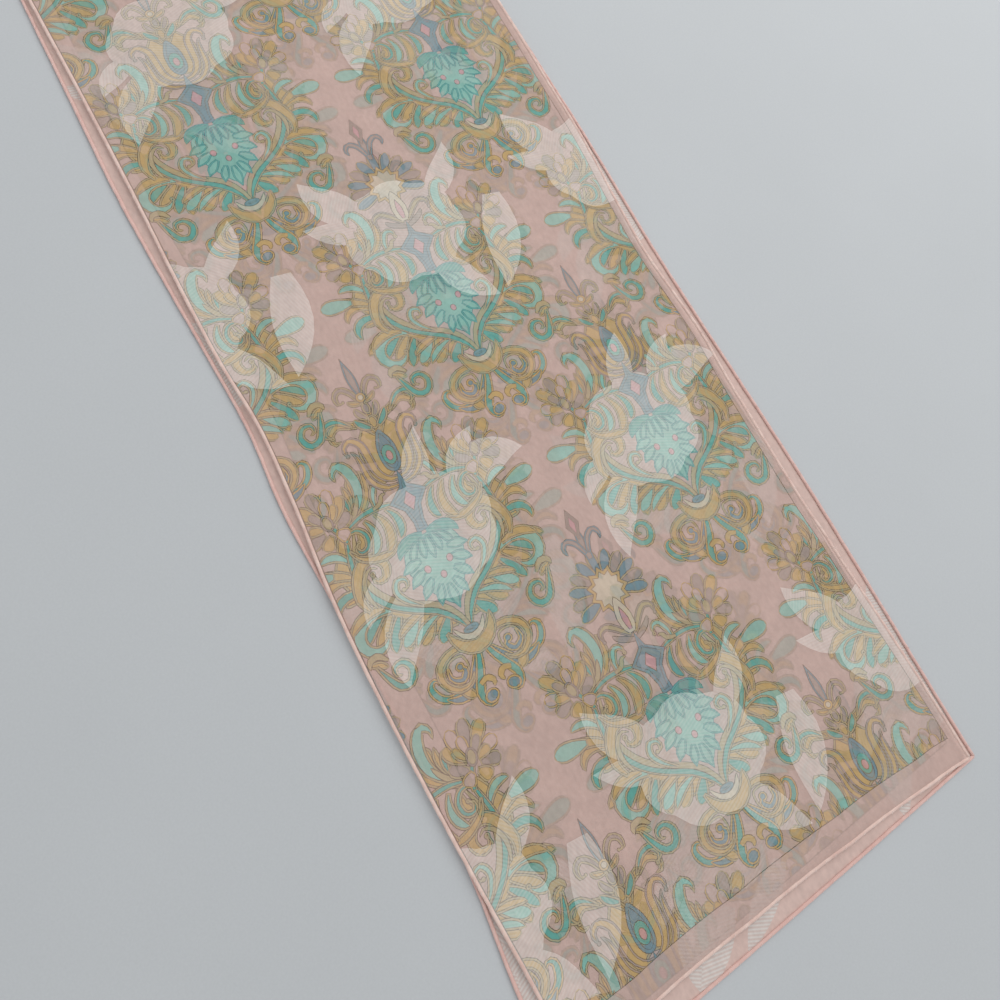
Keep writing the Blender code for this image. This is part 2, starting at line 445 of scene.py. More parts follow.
@dataclass
class Medallion:
    """The scarf's figure: a flower in a lyre of leaves, with a base below and a crown above."""

    crown: Crown
    petal_half: float = 2.3
    leaf_half: float = 3.0
    stem_half: float = 2.2

    def flower(self) -> tuple[Half, Half]:
        """The teal flower with its three dots.

        Returns:
            The shapes on the middle line, and those of the right half.
        """
        p = self.petal_half
        middle = [
            Patch(((0, 25), (7, 25.5), (14, 21), (17, 12), (14, 2), (9, -7), (4, -14), (0, -17),
                   (-4, -14), (-9, -7), (-14, 2), (-17, 12), (-14, 21), (-7, 25.5)), L.FLOWER_BODY),
            Frond(0, 24, -90, 14, 0, p, L.PETAL, 1, 0.5, 0.55, 0.9),
            Frond(0, -5, -90, 15, 0, p + 0.4, L.PETAL, 1, 0.4, 0.5, 1.1),
            Blob(0, 0.4, 1.7, 2.1, 0, L.ROSE_OVER),
        ]
        right = [
            Frond(1.5, 25, 14, 20, -84, 3.3, L.PETAL_DEEP, 1.3, 0.5, 0.55, 0.9),
            Frond(3, 24, -72, 12, -16, p, L.PETAL, 1, 0.5, 0.6, 0.9),
            Frond(6.5, 23, -48, 12, -22, p, L.PETAL, 1, 0.5, 0.6, 0.9),
            Frond(8, 13, -2, 12.5, -22, p + 0.7, L.PETAL, 1, 0.4, 0.5, 1.1),
            Frond(8, 7.5, -20, 12.5, -22, p + 0.7, L.PETAL, 1, 0.4, 0.5, 1.1),
            Frond(6.5, 1.5, -36, 12.5, -20, p + 0.6, L.PETAL, 1, 0.4, 0.5, 1.1),
            Frond(3.6, -3.4, -60, 12, -14, p + 0.3, L.PETAL, 1, 0.4, 0.5, 1.1),
            Blob(6.8, 6.8, 1.8, 2.2, -10, L.ROSE_OVER),
        ]
        return middle, right

    def diamond(self) -> tuple[Half, Half]:
        """The hollow-sided diamond above the flower.

        Returns:
            The shapes on the middle line, and those of the right half.
        """
        middle = [
            Patch(((0, 64), (2.2, 55), (11.5, 48), (5, 41), (3.2, 33), (3.4, 27), (-3.4, 27),
                   (-3.2, 33), (-5, 41), (-11.5, 48), (-2.2, 55)), L.SLATE_OVER, False),
            Patch(((0, 51), (3.6, 45.5), (0, 39.5), (-3.6, 45.5)), L.ROSE_OVER, False),
        ]
        return middle, []

    def foliage(self) -> tuple[Half, Half]:
        """The lyre stem, the curls and lobes on its outer side and the scrolls inside it.

        Returns:
            The shapes on the middle line, and those of the right half.
        """
        w, s = self.leaf_half, self.stem_half
        right = [
            Patch(((12, -18), (24, -12), (36, -3), (44, 8), (54, 10), (50, 18), (54, 26), (50, 34),
                   (44, 46), (39, 46), (42, 34), (42, 22), (38, 12), (30, 0), (18, -8))),
            Patch(((4, -26), (14, -26), (30, -24), (44, -14), (46, -2), (34, -2), (18, -9))),
            *fan(5, (40, 2), (28, -10), (-12, -62), (23, 18), -22, w + 0.4,
                 (L.OCHRE_LEAF, L.TEAL_LEAF), 0.5),
            *fan(3, (22, -12), (8, -20), (-44, -56), (18, 15), 12, w + 0.9,
                 (L.AQUA_LEAF, L.OCHRE_LEAF, L.TEAL_LEAF), 0.4),
            Frond(11, -17, -4, 22, -52, w - 0.3, L.AQUA_LEAF, 1.3, 0.4, 0.6),
            Frond(16, -12, 4, 22, -46, w - 0.6, L.OCHRE_LEAF, 1.3, 0.4, 0.6),
            Frond(33, -3, 30, 50, -285, w + 0.9, L.AQUA_LEAF, 1.5, 0.45, 0.42, 0.5, 1.5),
            Frond(36, 0, 22, 24, -76, w, L.OCHRE_LEAF, 1.2, 0.5, 0.5),
            Frond(42, 12, 30, 26, -150, w, L.TEAL_LEAF, 1.6, 0.45, 0.5),
            Frond(42, 18, 44, 26, -140, w - 0.2, L.OCHRE_LEAF, 1.7, 0.45, 0.5),
            Frond(44, 22, 40, 27, -60, w + 0.4, L.OCHRE_LEAF, 1.3, 0.5, 0.6),
            Frond(53, 28, 10, 20, -8, w + 2.2, L.AQUA_LEAF, 1.2, 0.4, 0.66, 0.45),
            Frond(43, 30, 62, 19, -96, w - 0.2, L.AQUA_LEAF, 1.4, 0.5, 0.6),
            Vine(((0.5, -31), (4, -24), (12, -15), (23, -8), (33, 0), (40, 10), (43, 21), (42, 33),
                  (39.5, 46)), s + 0.1, L.GREEN_STEM, 0.6, 0.3, 0.22),
            Vine(((0, -30), (3, -21), (10, -12.5), (20, -6.5), (30, 1), (37, 11), (40, 22), (38.5, 34),
                  (35, 45)), s - 0.5, L.TEAL_LEAF, 0.6, 0.3, 0.3),
            Vine(((43, 2), (46, 10), (43, 20), (38, 26.5), (31, 27), (26.5, 21), (28.5, 14.5),
                  (34, 14.5), (34.5, 19)), w + 0.5, L.OCHRE_LEAF, 0.4, 0.4, 0.45, 1.6),
            Vine(((39, 2), (41.5, 10), (40, 18), (35, 22.5), (31, 20.5)), 1.3, L.TEAL_LEAF, 0.4, 0.4),
            Vine(((17, -9), (23.5, -3), (27, 4), (24.5, 9.5), (20, 8), (20.5, 4), (23, 3.6)), 2.1,
                 L.AQUA_LEAF, 0.5, 0.5, 0.5, 1.2),
        ]
        return [], right

    def wings(self) -> tuple[Half, Half]:
        """The leaves that hang between the diamond and the stem.

        Returns:
            The shapes on the middle line, and those of the right half.
        """
        w, s = self.leaf_half, self.stem_half
        right = [
            Vine(((41, 36), (37, 29.5), (29, 25.5), (21, 24.5), (14, 28)), 2.5, L.OCHRE_LEAF, 0.4, 0.6),
            Frond(33, 46, -108, 17, 70, w - 0.4, L.OCHRE_LEAF, 1.2, 0.4, 0.66, 0.45),
            Frond(28, 47, -124, 22, 92, w - 0.1, L.AQUA_LEAF, 1.3, 0.4, 0.68, 0.45),
            Frond(21.5, 48, -128, 26, 92, w + 0.1, L.OCHRE_LEAF, 1.3, 0.35, 0.68, 0.45),
            Frond(15, 47.5, -134, 21, 88, w - 0.1, L.TEAL_LEAF, 1.3, 0.35, 0.66, 0.45),
            Vine(((40, 44), (33.5, 44.5), (29.5, 39.5), (30.5, 33.5), (35, 32), (37, 35.5), (34.5, 38)),
                 2.0, L.TEAL_LEAF, 0.6, 0.5, 0.5, 1.3),
            Vine(((8, 47.5), (18, 50), (29, 50), (40, 46)), s - 0.3, L.GREEN_STEM, 0.6, 0.5, 0.3),
            Vine(((19, 50), (18.5, 56), (15.5, 61.5), (11.5, 61), (10.5, 57)), s, L.AQUA_LEAF,
                 0.6, 0.5, 0.5, 1.3),
            Vine(((21, 50), (16, 51.5), (14, 55), (11, 55)), 1.3, L.OCHRE_LEAF),
        ]
        return [], right

    def feathers(self) -> tuple[Half, Half]:
        """The tall hooked leaf beside the crown, with its companions.

        Returns:
            The shapes on the middle line, and those of the right half.
        """
        s = self.stem_half
        right = [
            Patch(((40, 44), (34, 52), (30, 60), (30, 70), (24, 74), (20, 66), (22, 56), (28, 49))),
            Vine(((40, 43), (32, 50), (26, 58), (24, 67), (25.5, 76), (30, 81.5), (34, 78), (33.5, 73)),
                 s + 1.5, L.AQUA_LEAF, 0.4, 0.62, 0.75),
            Vine(((36, 48), (27, 52), (20.5, 60), (19, 70), (20.5, 74)), s, L.OCHRE_LEAF, 0.5, 0.6),
            Vine(((40, 45), (34, 54), (31, 63), (32, 70)), s + 0.2, L.OCHRE_LEAF, 0.5, 0.6),
            Vine(((39, 46), (30, 54), (26, 62)), s - 0.7, L.TEAL_LEAF, 0.5),
            Frond(33, 55, 92, 12, -34, s, L.TEAL_LEAF, 1.2, 0.5),
        ]
        return [], right

    def carnations(self) -> tuple[Half, Half]:
        """The round flower head at the shoulder, on its short stalk.

        Returns:
            The shapes on the middle line, and those of the right half.
        """
        outer = (
            (43, 50, 168, 11.5, -60), (43.5, 54, 138, 15, -34), (45, 56, 112, 17.5, -22),
            (47, 57, 84, 18, -16), (49, 56, 56, 17, -14), (50, 53, 26, 13.5, -16),
            (49, 50, -8, 11.5, -20), (46, 48, -44, 9, -20), (44, 48, 205, 8, 30),
        )
        inner = (
            (45, 54, 130, 11, -30), (46, 55, 100, 12.5, -16), (48, 54, 62, 11.5, -16), (49, 52, 28, 9, -20),
        )
        looks = (L.MAUVE_LEAF, L.OCHRE_LEAF, L.BUD_LEAF)
        right = [
            Vine(((40, 40), (41.5, 46), (44.5, 51), (46, 54)), 1.9, L.GREEN_STEM, 0.8, 0.5, 0.3),
            *(Frond(*petal, 4.1, looks[i % 3], 1.1, 0.36, 0.7, 0.4) for i, petal in enumerate(outer)),
            *(Frond(*petal, 3.1, looks[(i + 1) % 3], 1.1, 0.4, 0.7, 0.4) for i, petal in enumerate(inner)),
            Blob(46.5, 55, 3.2, 4.8, -14, L.MAUVE_CURL),
        ]
        return [], right

    def base(self) -> tuple[Half, Half]:
        """The bowl, the two volutes under it, and the round spirals beside it.

        Returns:
            The shapes on the middle line, and those of the right half.
        """
        s = self.stem_half
        middle = [
            Vine(((-13, -28), (-9, -37.5), (0, -42), (9, -37.5), (13, -28)), 4.4, L.CUP, 0.25, 0.5, 0.6),
            Vine(((-9, -28.5), (-5.5, -34), (0, -36.2), (5.5, -34), (9, -28.5)), 1.7, L.CREAM_OVER,
                 0.3, 0.5, 0.6),
            Blob(0, -32, 4.6, 2.3, 0, L.SLATE_OVER),
        ]
        right = [
            Vine(((19, -57), (26, -58.5), (31.5, -55), (33.5, -48.5), (30.5, -45.5), (28, -48)), s + 0.2,
                 L.TEAL_SCROLL, 0.6, 0.5, 0.5, 1.3),
            Vine(((3, -44), (9, -53), (15, -60.5), (23, -61), (29, -57)), s + 0.8, L.SLATE_SCROLL,
                 0.6, 0.5, 0.45),
            Frond(20, -52, -100, 14, -38, 3.1, L.OCHRE_LEAF, 1.2, 0.5, 0.66, 0.5),
            Vine(((2, -42), (4.5, -50), (8.5, -58), (11.5, -64.5), (9.5, -71), (5, -71.5)), s + 0.6,
                 L.TEAL_SCROLL, 0.6, 0.6, 0.5),
            Blob(6.8, -68, 4.3, 3.7, -20, L.SLATE_SCROLL),
            Vine(((9.5, -60), (5.2, -58.6), (2.2, -61.4), (3.4, -64.6)), 1.7, L.SLATE_SCROLL, 0.7),
            Patch(((12, -41), (19, -41), (23, -46), (21.5, -52.5), (15, -54.5), (10.5, -50), (10, -44.5)),
                  L.OPEN_CURL),
            Vine(((3, -43), (10, -38.2), (18, -38), (25, -42.5), (26, -50.5), (20, -57), (12.5, -56.5),
                  (9.4, -52)), s + 0.3, L.OCHRE_LEAF, 0.6, 0.4, 0.45),
            Vine(((21, -44), (21.5, -50), (16.5, -53.2), (13, -49.5), (15, -46.6)), s - 0.1, L.SLATE_SCROLL,
                 0.4, 0.7, 0.5, 2.6),
            Vine(((56, -22), (51, -24), (47, -27)), s, L.OCHRE_LEAF, 0.4),
            Vine(((53, -24), (50, -32), (46, -39), (40, -39.5), (37, -33.5), (40, -28.5), (45, -29),
                  (45.5, -33), (42.5, -34)), s + 0.4, L.TEAL_LEAF, 0.4, 0.4, 0.45),
            Vine(((46, -24), (50, -19.5), (55, -20), (56, -24)), 1.8, L.TEAL_LEAF, 0.4),
        ]
        return middle, right

    def eye_crown(self) -> tuple[Half, Half]:
        """The crown that holds an oval eye between two hooked feathers.

        Returns:
            The shapes on the middle line, and those of the right half.
        """
        middle = [
            Patch(((0, 64), (10, 60), (15, 70), (15, 84), (10, 92), (0, 104), (-10, 92), (-15, 84),
                   (-15, 70), (-10, 60))),
            Patch(((0, 90), (4.2, 83), (5.6, 75), (4.4, 67), (0, 63.5), (-4.4, 67), (-5.6, 75),
                   (-4.2, 83)), L.SLATE_OVER),
            Blob(0, 74, 3.9, 6, 0, L.TEAL_OVER),
            Blob(0, 73.4, 1.9, 3, 0, L.ROSE_OVER),
            Blob(0, 95, 3, 4.4, 0, L.OCHRE_LEAF),
            Blob(0, 104, 2.6, 3.8, 0, L.MAUVE_LEAF),
            Blob(0, 111, 3, 3, 0, L.OCHRE_OVER),
            Frond(0, 113, 90, 24, 0, 2.8, L.GREY_CURL, 1, 0.5, 0.4, 1.3),
        ]
        right = [
            Vine(((0, 60), (6, 61.5), (10.5, 68), (11.5, 78), (12.5, 86), (17.5, 91), (22, 88),
                  (21.5, 83)), 2.5, L.BROWN_LEAF, 0.6, 0.5, 0.4, 1.1),
            Vine(((0, 56), (9, 57.5), (15.5, 65), (16.5, 76), (17.5, 82), (19.5, 85)), 2, L.BROWN_LEAF),
            Vine(((1.5, 88), (7, 96), (14, 99), (20, 101.5), (25.5, 98), (25, 92.5), (21, 92.5)), 2.5,
                 L.OCHRE_LEAF),
            Vine(((12, 97), (19, 104), (26, 104.5), (28.5, 99.5), (25, 96)), 2.1, L.TEAL_LEAF,
                 0.4, 0.5, 0.5, 1.4),
            Frond(2, 92, 30, 12, 40, 2.6, L.TEAL_LEAF, 1.2, 0.6, 0.5),
            Frond(2, 98, 40, 10, 50, 2.3, L.MAUVE_LEAF, 1.2, 0.6, 0.5),
            Vine(((1, 106), (4, 115), (9, 120), (13.5, 117.5), (13.5, 112.5), (10.5, 112.5)), 2,
                 L.MAUVE_LEAF, 0.6, 0.5, 0.5, 0.9),
            Frond(1, 108, 0, 9, 60, 1.9, L.OCHRE_LEAF, 1.2, 0.6, 0.5),
        ]
        return middle, right

    def rosette_crown(self) -> tuple[Half, Half]:
        """The crown that holds a petalled rosette over a pale pointed leaf.

        Returns:
            The shapes on the middle line, and those of the right half.
        """
        star = []
        for k in range(22):
            reach = 9.4 if k % 2 else 12.6
            angle = math.pi * k / 11 + math.pi / 2
            star.append((reach * math.cos(angle), 91 + 1.12 * reach * math.sin(angle)))
        middle = [
            Patch(((0, 86), (3.8, 78), (4.6, 71.5), (2.6, 65), (-2.6, 65), (-4.6, 71.5), (-3.8, 78)),
                  L.CREAM_OVER),
            Frond(0, 66, 90, 14, 0, 1.8, L.ROSE_LEAF, 1, 0.5, 0.45, 1.2),
            Frond(0, 96, 90, 20, 0, 3.4, L.SLATE_LEAF, 1, 0.5, 0.7, 0.55),
            Frond(0, 110, 90, 20, 0, 2.6, L.GREY_CURL, 1, 0.8, 0.5, 0.4),
            Patch(((0, 142), (4.2, 132.5), (0, 123), (-4.2, 132.5)), L.MAUVE_OVER, False),
            Patch(((0, 137.5), (1.8, 132.5), (0, 127), (-1.8, 132.5)), L.ROSE_OVER, False),
            Patch(tuple(star), L.OCHRE_STAR, False),
        ]
        right = [
            Vine(((1, 63), (4, 66), (8, 70.5), (13, 74), (17.5, 72), (17.5, 67)), 2.1, L.MAUVE_CURL,
                 0.7, 0.5, 0.5, 1.0),
            Vine(((0, 60), (5, 62), (10, 65), (12, 68)), 1.7, L.MAUVE_CURL, 0.7),
            Vine(((1, 114), (4, 122), (9, 125.5), (12, 122), (11, 118)), 1.9, L.GREY_CURL, 0.7),
        ]
        for k, heading in enumerate((70, 49, 28, 7, -14)):
            angle = math.radians(heading)
            look = L.MAUVE_LEAF if k % 2 else L.SLATE_LEAF
            right.append(
                Frond(8 * math.cos(angle), 89 + 8 * math.sin(angle), heading, 17.5 - 0.4 * k, -8, 3.9,
                      look, 1, 0.55, 0.66)
            )
        return middle, right

    def contours(self) -> list[Contour]:
        """Every contour of the medallion, both halves.

        Returns:
            The contours, in printing order.
        """
        top = self.eye_crown if self.crown is Crown.EYE else self.rosette_crown
        parts = (self.feathers, self.foliage, self.wings, self.carnations, self.base, top,
                 self.diamond, self.flower)
        made = []
        for part in parts:
            middle, right = part()
            half = [c for shape in right for c in shape.contours()]
            made += [c for shape in middle for c in shape.contours()] + half + mirrored(half)
        return sorted(made, key=lambda c: c.level)


# ---------------------------------------------------------------- flat pattern


def covered(places: np.ndarray, ring: Ring) -> np.ndarray:
    """Finds which places lie inside a closed ring, by its winding.

    Args:
        places: Rows of x and y.
        ring: The ring's corners.

    Returns:
        One truth value for each place.
    """
    corners = np.array(ring)
    near = np.all((places >= corners.min(0)) & (places <= corners.max(0)), axis=1)
    x, y = places[near].T
    wind = np.zeros(len(x), int)
    for (ax, ay), (bx, by) in zip(corners, np.roll(corners, -1, 0), strict=True):
        side = (bx - ax) * (y - ay) - (x - ax) * (by - ay)
        wind += ((ay <= y) & (by > y) & (side > 0)).astype(int)
        wind -= ((ay > y) & (by <= y) & (side < 0)).astype(int)
    inside = np.zeros(len(places), bool)
    inside[np.flatnonzero(near)[wind != 0]] = True
    return inside


def triangulated(
    points: list[Point], edges: list[tuple[int, int]]
) -> tuple[np.ndarray, np.ndarray]:
    """Joins flat points into triangles that keep the given edges.

    Args:
        points: The points, in millimetres.
        edges: Pairs of point numbers.

    Returns:
        The points, with those where edges cross added, and the triangles.
    """
    made = delaunay_2d_cdt([Vector(p) for p in points], edges, [], 0, 1e-4, False)
    places = np.array([(p.x, p.y) for p in made[0]])
    corners = np.array([f for f in made[2] if len(f) == 3])
    a, b, c = (places[corners[:, k]] for k in range(3))
    area = (b[:, 0] - a[:, 0]) * (c[:, 1] - a[:, 1]) - (b[:, 1] - a[:, 1]) * (c[:, 0] - a[:, 0])
    return places, corners[np.abs(area) > 1e-7]


def ring_edges(first: int, count: int) -> list[tuple[int, int]]:
    """The edges of a closed ring of points numbered from the first."""
    return [(first + i, first + (i + 1) % count) for i in range(count)]


def stepped(ring: list[Point], step: float) -> list[Point]:
    """The same closed ring with more points along its sides.

    Args:
        ring: The ring's corners.
        step: The greatest distance between two points.

    Returns:
        The ring's corners and the points between them.
    """
    made = []
    for (ax, ay), (bx, by) in zip(ring, ring[1:] + ring[:1], strict=True):
        count = max(1, math.ceil(math.hypot(bx - ax, by - ay) / step))
        made += [(ax + (bx - ax) * i / count, ay + (by - ay) * i / count) for i in range(count)]
    return made


class MotifPlate:
    """One medallion worked out once as flat triangles, for printing at many places."""

    def __init__(self, contours: list[Contour], slack: float) -> None:
        """Works out the plate.

        Args:
            contours: The medallion's contours, in printing order.
            slack: How far an outline may be simplified, in millimetres.
        """
        points, edges = [], []
        for contour in contours:
            edges += ring_edges(len(points), len(contour.points))
            points += contour.points
        places, corners = triangulated(points, edges)
        centres = places[corners].mean(1)
        self.inks = np.zeros(len(corners), int)
        order = list(Ink)
        for contour in contours:
            self.inks[covered(centres, contour.points)] = order.index(contour.ink)
        self.low, self.high = places.min(0), places.max(0)
        flat = [Vector((x, y, 0.0)) for x, y in places]
        self.tree = BVHTree.FromPolygons(flat, corners.tolist())
        self.places = places
        self.outlines = self._outlines(corners, slack)

    def _outlines(self, corners: np.ndarray, slack: float) -> list[tuple[int, int]]:
        """Keeps the edges between two inks, with fewer points on nearly straight runs.

        Args:
            corners: The plate's triangles.
            slack: How far a kept edge may leave the points that it passes.

        Returns:
            Pairs of point numbers.
        """
        pairs = np.sort(np.concatenate([corners[:, [0, 1]], corners[:, [1, 2]], corners[:, [2, 0]]]), 1)
        inks = np.tile(self.inks, 3)
        order = np.lexsort((pairs[:, 1], pairs[:, 0]))
        pairs, inks = pairs[order], inks[order]
        same = np.all(pairs[1:] == pairs[:-1], axis=1)
        split = np.flatnonzero(same & (inks[1:] != inks[:-1]))
        lone = np.concatenate([[True], ~same]) & np.concatenate([~same, [True]]) & (inks != 0)
        links: dict[int, set[int]] = {}
        for a, b in [*pairs[split].tolist(), *pairs[lone].tolist()]:
            links.setdefault(a, set()).add(b)
            links.setdefault(b, set()).add(a)
        for _ in range(PASSES):
            fixed: set[int] = set()
            for middle in sorted(links):
                ends = links[middle]
                if len(ends) != 2 or middle in fixed:
                    continue
                a, b = ends
                if b in links[a]:
                    continue
                run = self.places[b] - self.places[a]
                gap = self.places[middle] - self.places[a]
                length = math.hypot(*run)
                if length > LONGEST_RUN or abs(run[0] * gap[1] - run[1] * gap[0]) > slack * length:
                    continue
                links[a].remove(middle)
                links[b].remove(middle)
                links[a].add(b)
                links[b].add(a)
                links.pop(middle)
                fixed |= {a, b}
        return [(a, b) for a in sorted(links) for b in sorted(links[a]) if a < b]

    def ink_at(self, x: float, y: float) -> int:
        """The ink at a place on the plate: its number, or 0 where it is bare."""
        hit = self.tree.ray_cast(Vector((x, y, 1.0)), Vector((0.0, 0.0, -1.0)), 2.0)
        return 0 if hit[2] is None else int(self.inks[hit[2]])


class Spray(Enum):
    """The two ways in which a satin spray lies; rows of them alternate."""

    UPRIGHT = "upright"
    LEANING = "leaning"


@dataclass
class SatinSprays:
    """Flower sprays woven in satin: a broad scalloped head with a few pointed leaves."""

    across: float = 142.0
    along: float = 350.0
    head_x: float = -3.0
    head_v: float = 82.0
    head: float = 36.0
    corners: int = 48
    side_margin: float = 70.0
    end_margin: float = 80.0
    lone_leaves: tuple[tuple[float, ...], ...] = ()

    def leaves(self, spray: Spray) -> list[tuple[Ring, float]]:
        """One spray's shapes about the middle of its head, each with its rib direction.

        Args:
            spray: Which way the spray lies.

        Returns:
            Pairs of a ring in millimetres and a share of a half turn.
        """
        lean = 0.5 if spray is Spray.UPRIGHT else -0.4
        ring = []
        for i in range(self.corners):
            angle = 2 * math.pi * i / self.corners
            lobes = 0.93 + 0.09 * abs(math.sin(3.5 * angle + lean)) + 0.05 * math.cos(2 * angle - lean)
            ring.append((self.head * lobes * math.cos(angle), self.head * lobes * math.sin(angle)))
        heart = [(0.52 * x + 3 * lean, 0.52 * y - 4) for x, y in ring[::2]]
        made = [(tuple(ring), 0.62), (tuple(heart), 0.36)]
        if spray is Spray.UPRIGHT:
            blades = (
                (2, 22, 78, 42, -16, 8.5, 0.40), (20, 16, 34, 52, -58, 13.0, 0.16),
                (24, 22, 62, 34, -30, 7.5, 0.82), (-20, -18, -140, 54, 44, 10.5, 0.30),
                (-26, -6, -164, 34, 50, 7.0, 0.90),
            )
        else:
            blades = (
                (-18, 16, 142, 48, -34, 11.5, 0.80), (-20, 8, 166, 40, -20, 8.0, 0.46),
                (62, 3, -98, 66, -22, 12.0, 0.10), (10, -24, -70, 46, 30, 10.0, 0.66),
                (22, 14, 30, 44, 46, 8.5, 0.24),
            )
        return made + [self._blade(*blade) for blade in blades]

    @staticmethod
    def _blade(*sizes: float) -> tuple[Ring, float]:
        """One pointed leaf: x, y, heading, length, turn and half width, then its rib direction."""
        leaf = Frond(*sizes[:6], Look.MASS, 1.2, 0.5, 0.42, 0.95)
        return leaf.contours()[1].points, sizes[6]

    def placed(self, width: float, length: float) -> list[tuple[Ring, float]]:
        """The sprays over a whole cloth, in a half-drop repeat.

        Args:
            width: The cloth's width in millimetres.
            length: The cloth's length in millimetres.

        Returns:
            Pairs of a placed ring and its rib direction.
        """
        made = []
        for column in range(-3, 4):
            spray = Spray.UPRIGHT if column % 2 else Spray.LEANING
            for row in range(-1, 4):
                x = self.head_x + column / 2 * self.across
                v = self.head_v + (row + (0.5 if column % 2 else 0.0)) * self.along
                past_side = abs(x) > width / 2 + self.side_margin
                if past_side or not -self.end_margin < v < length + self.end_margin:
                    continue
                made += [
                    (tuple((px + x, py + v) for px, py in ring), ribs)
                    for ring, ribs in self.leaves(spray)
                ]
        return made + [self._blade(*blade) for blade in self.lone_leaves]


@dataclass
class PrintedCloth:
    """The flat cloth of one half of the scarf with its print and its satin sprays."""

    half_width: float = 137.5
    length: float = 788.5
    bend: float = 7.9
    border_left: float = 135.4
    border_right: float = 131.0
    border_end: float = 16.0
    border_line: float = 0.42
    repeat_across: float = 155.8
    repeat_along: float = 280.6
    drop: float = 0.51
    rosette_row: float = 93.0
    print_shift: float = 0.0
    grid: float = 10.5
    edge_step: float = 7.0
    hem_overlap: float = 0.9
    sprays: SatinSprays = field(default_factory=SatinSprays)

    def sites(self) -> list[tuple[Crown, float, float]]:
        """Where each medallion stands.

        Returns:
            Its kind, and its place from the middle and from the near end.
        """
        made = []
        for row in range(-1, 4):
            v = self.rosette_row + self.repeat_along * row
            for k in (-1, 0, 1):
                made.append((Crown.ROSETTE, self.repeat_across * k + self.print_shift, v))
            for k in (-0.5, 0.5):
                x = self.repeat_across * k + self.print_shift
                made.append((Crown.EYE, x, v + self.repeat_along * self.drop))
        return made

    def laid_out(
        self, plates: dict[Crown, MotifPlate]
    ) -> tuple[np.ndarray, np.ndarray, np.ndarray, np.ndarray]:
        """Works out the cloth's flat triangles.

        Args:
            plates: The worked-out medallion of each crown.

        Returns:
            The points in millimetres, the triangles, and each triangle's ink and satin ribs.
        """
        side, top = self.half_width - self.hem_overlap, self.length + self.bend
        points: list[Point] = []
        edges: list[tuple[int, int]] = []
        left, right, line = self.border_left, self.border_right, self.border_line
        low = self.border_end
        frames = (
            (side, side, self.hem_overlap), (left, right, low), (left - line, right - line, low + line),
        )
        for west, east, bottom in frames:
            ring = stepped([(-west, bottom), (east, bottom), (east, top), (-west, top)], self.edge_step)
            edges += ring_edges(len(points), len(ring))
            points += ring
        edges.append((len(points), len(points) + 1))
        points += [(-side, self.length), (side, self.length)]
        for crown, x, v in self.sites():
            plate = plates[crown]
            shift = np.array((x, v))
            moved = plate.places + shift
            shown = (moved[:, 0] > -left - 1) & (moved[:, 0] < right + 1)
            shown &= (moved[:, 1] > low - 1) & (moved[:, 1] < top + 1)
            number: dict[int, int] = {}
            for pair in plate.outlines:
                if not (shown[pair[0]] or shown[pair[1]]):
                    continue
                for end in pair:
                    if end not in number:
                        number[end] = len(points)
                        points.append((float(moved[end, 0]), float(moved[end, 1])))
                edges.append((number[pair[0]], number[pair[1]]))
        shapes = self.sprays.placed(2 * side, top)
        for ring, _ in shapes:
            edges += ring_edges(len(points), len(ring))
            points += ring
        columns, rows = int(2 * side / self.grid), int(top / self.grid)
        for i in range(1, columns):
            for j in range(1, rows):
                points.append((-side + 2 * side * i / columns, top * j / rows))
        places, corners = triangulated(points, edges)
        centres = places[corners].mean(1)
        inside = (np.abs(centres[:, 0]) < side) & (centres[:, 1] > self.hem_overlap) & (centres[:, 1] < top)
        corners, centres = corners[inside], centres[inside]
        inks = self._inks(plates, centres)
        ribs = np.zeros(len(centres))
        for ring, direction in shapes:
            ribs[covered(centres, ring)] = direction
        return places, corners, inks, ribs

    def _inks(self, plates: dict[Crown, MotifPlate], centres: np.ndarray) -> np.ndarray:
        """Finds the ink at each of the given places.

        Args:
            plates: The worked-out medallion of each crown.
            centres: Rows of millimetres from the middle and from the near end.

        Returns:
            The number of each place's ink.
        """
        inks = np.zeros(len(centres), int)
        x, y, line = centres[:, 0], centres[:, 1], self.border_line
        left, right, low = self.border_left, self.border_right, self.border_end
        framed = (x > -left) & (x < right) & (y > low)
        printed = (x > line - left) & (x < right - line) & (y > low + line)
        for crown, *spot in self.sites():
            plate = plates[crown]
            local = centres - np.array(spot)
            near = np.flatnonzero(printed & np.all((local > plate.low) & (local < plate.high), axis=1))
            for i in near:
                ink = plate.ink_at(float(local[i, 0]), float(local[i, 1]))
                inks[i] = ink or inks[i]
        inks[framed & ~printed] = list(Ink).index(Ink.LINE)
        return inks


# --------------------------------------------------------------- cloth in space


@dataclass(frozen=True)
class EdgeRow:
    """Where the two layers' side edges lie at one height of the scarf, in metres."""

    y: float
    upper: Point
    lower: Point


@dataclass(frozen=True)
class Ridge:
    """A low fold that is raised in the upper layer, in metres and degrees."""

    x: float
    y: float
    angle: float
    length: float
    width: float
    height: float


class Weave(Enum):
    """The two weaves of the cloth: sheer crepe, and the denser satin of the sprays."""

    CREPE = "crepe"
    SATIN = "satin"


class Layer(Enum):
    """The two layers of the folded scarf."""

    UPPER = "upper"
    LOWER = "lower"


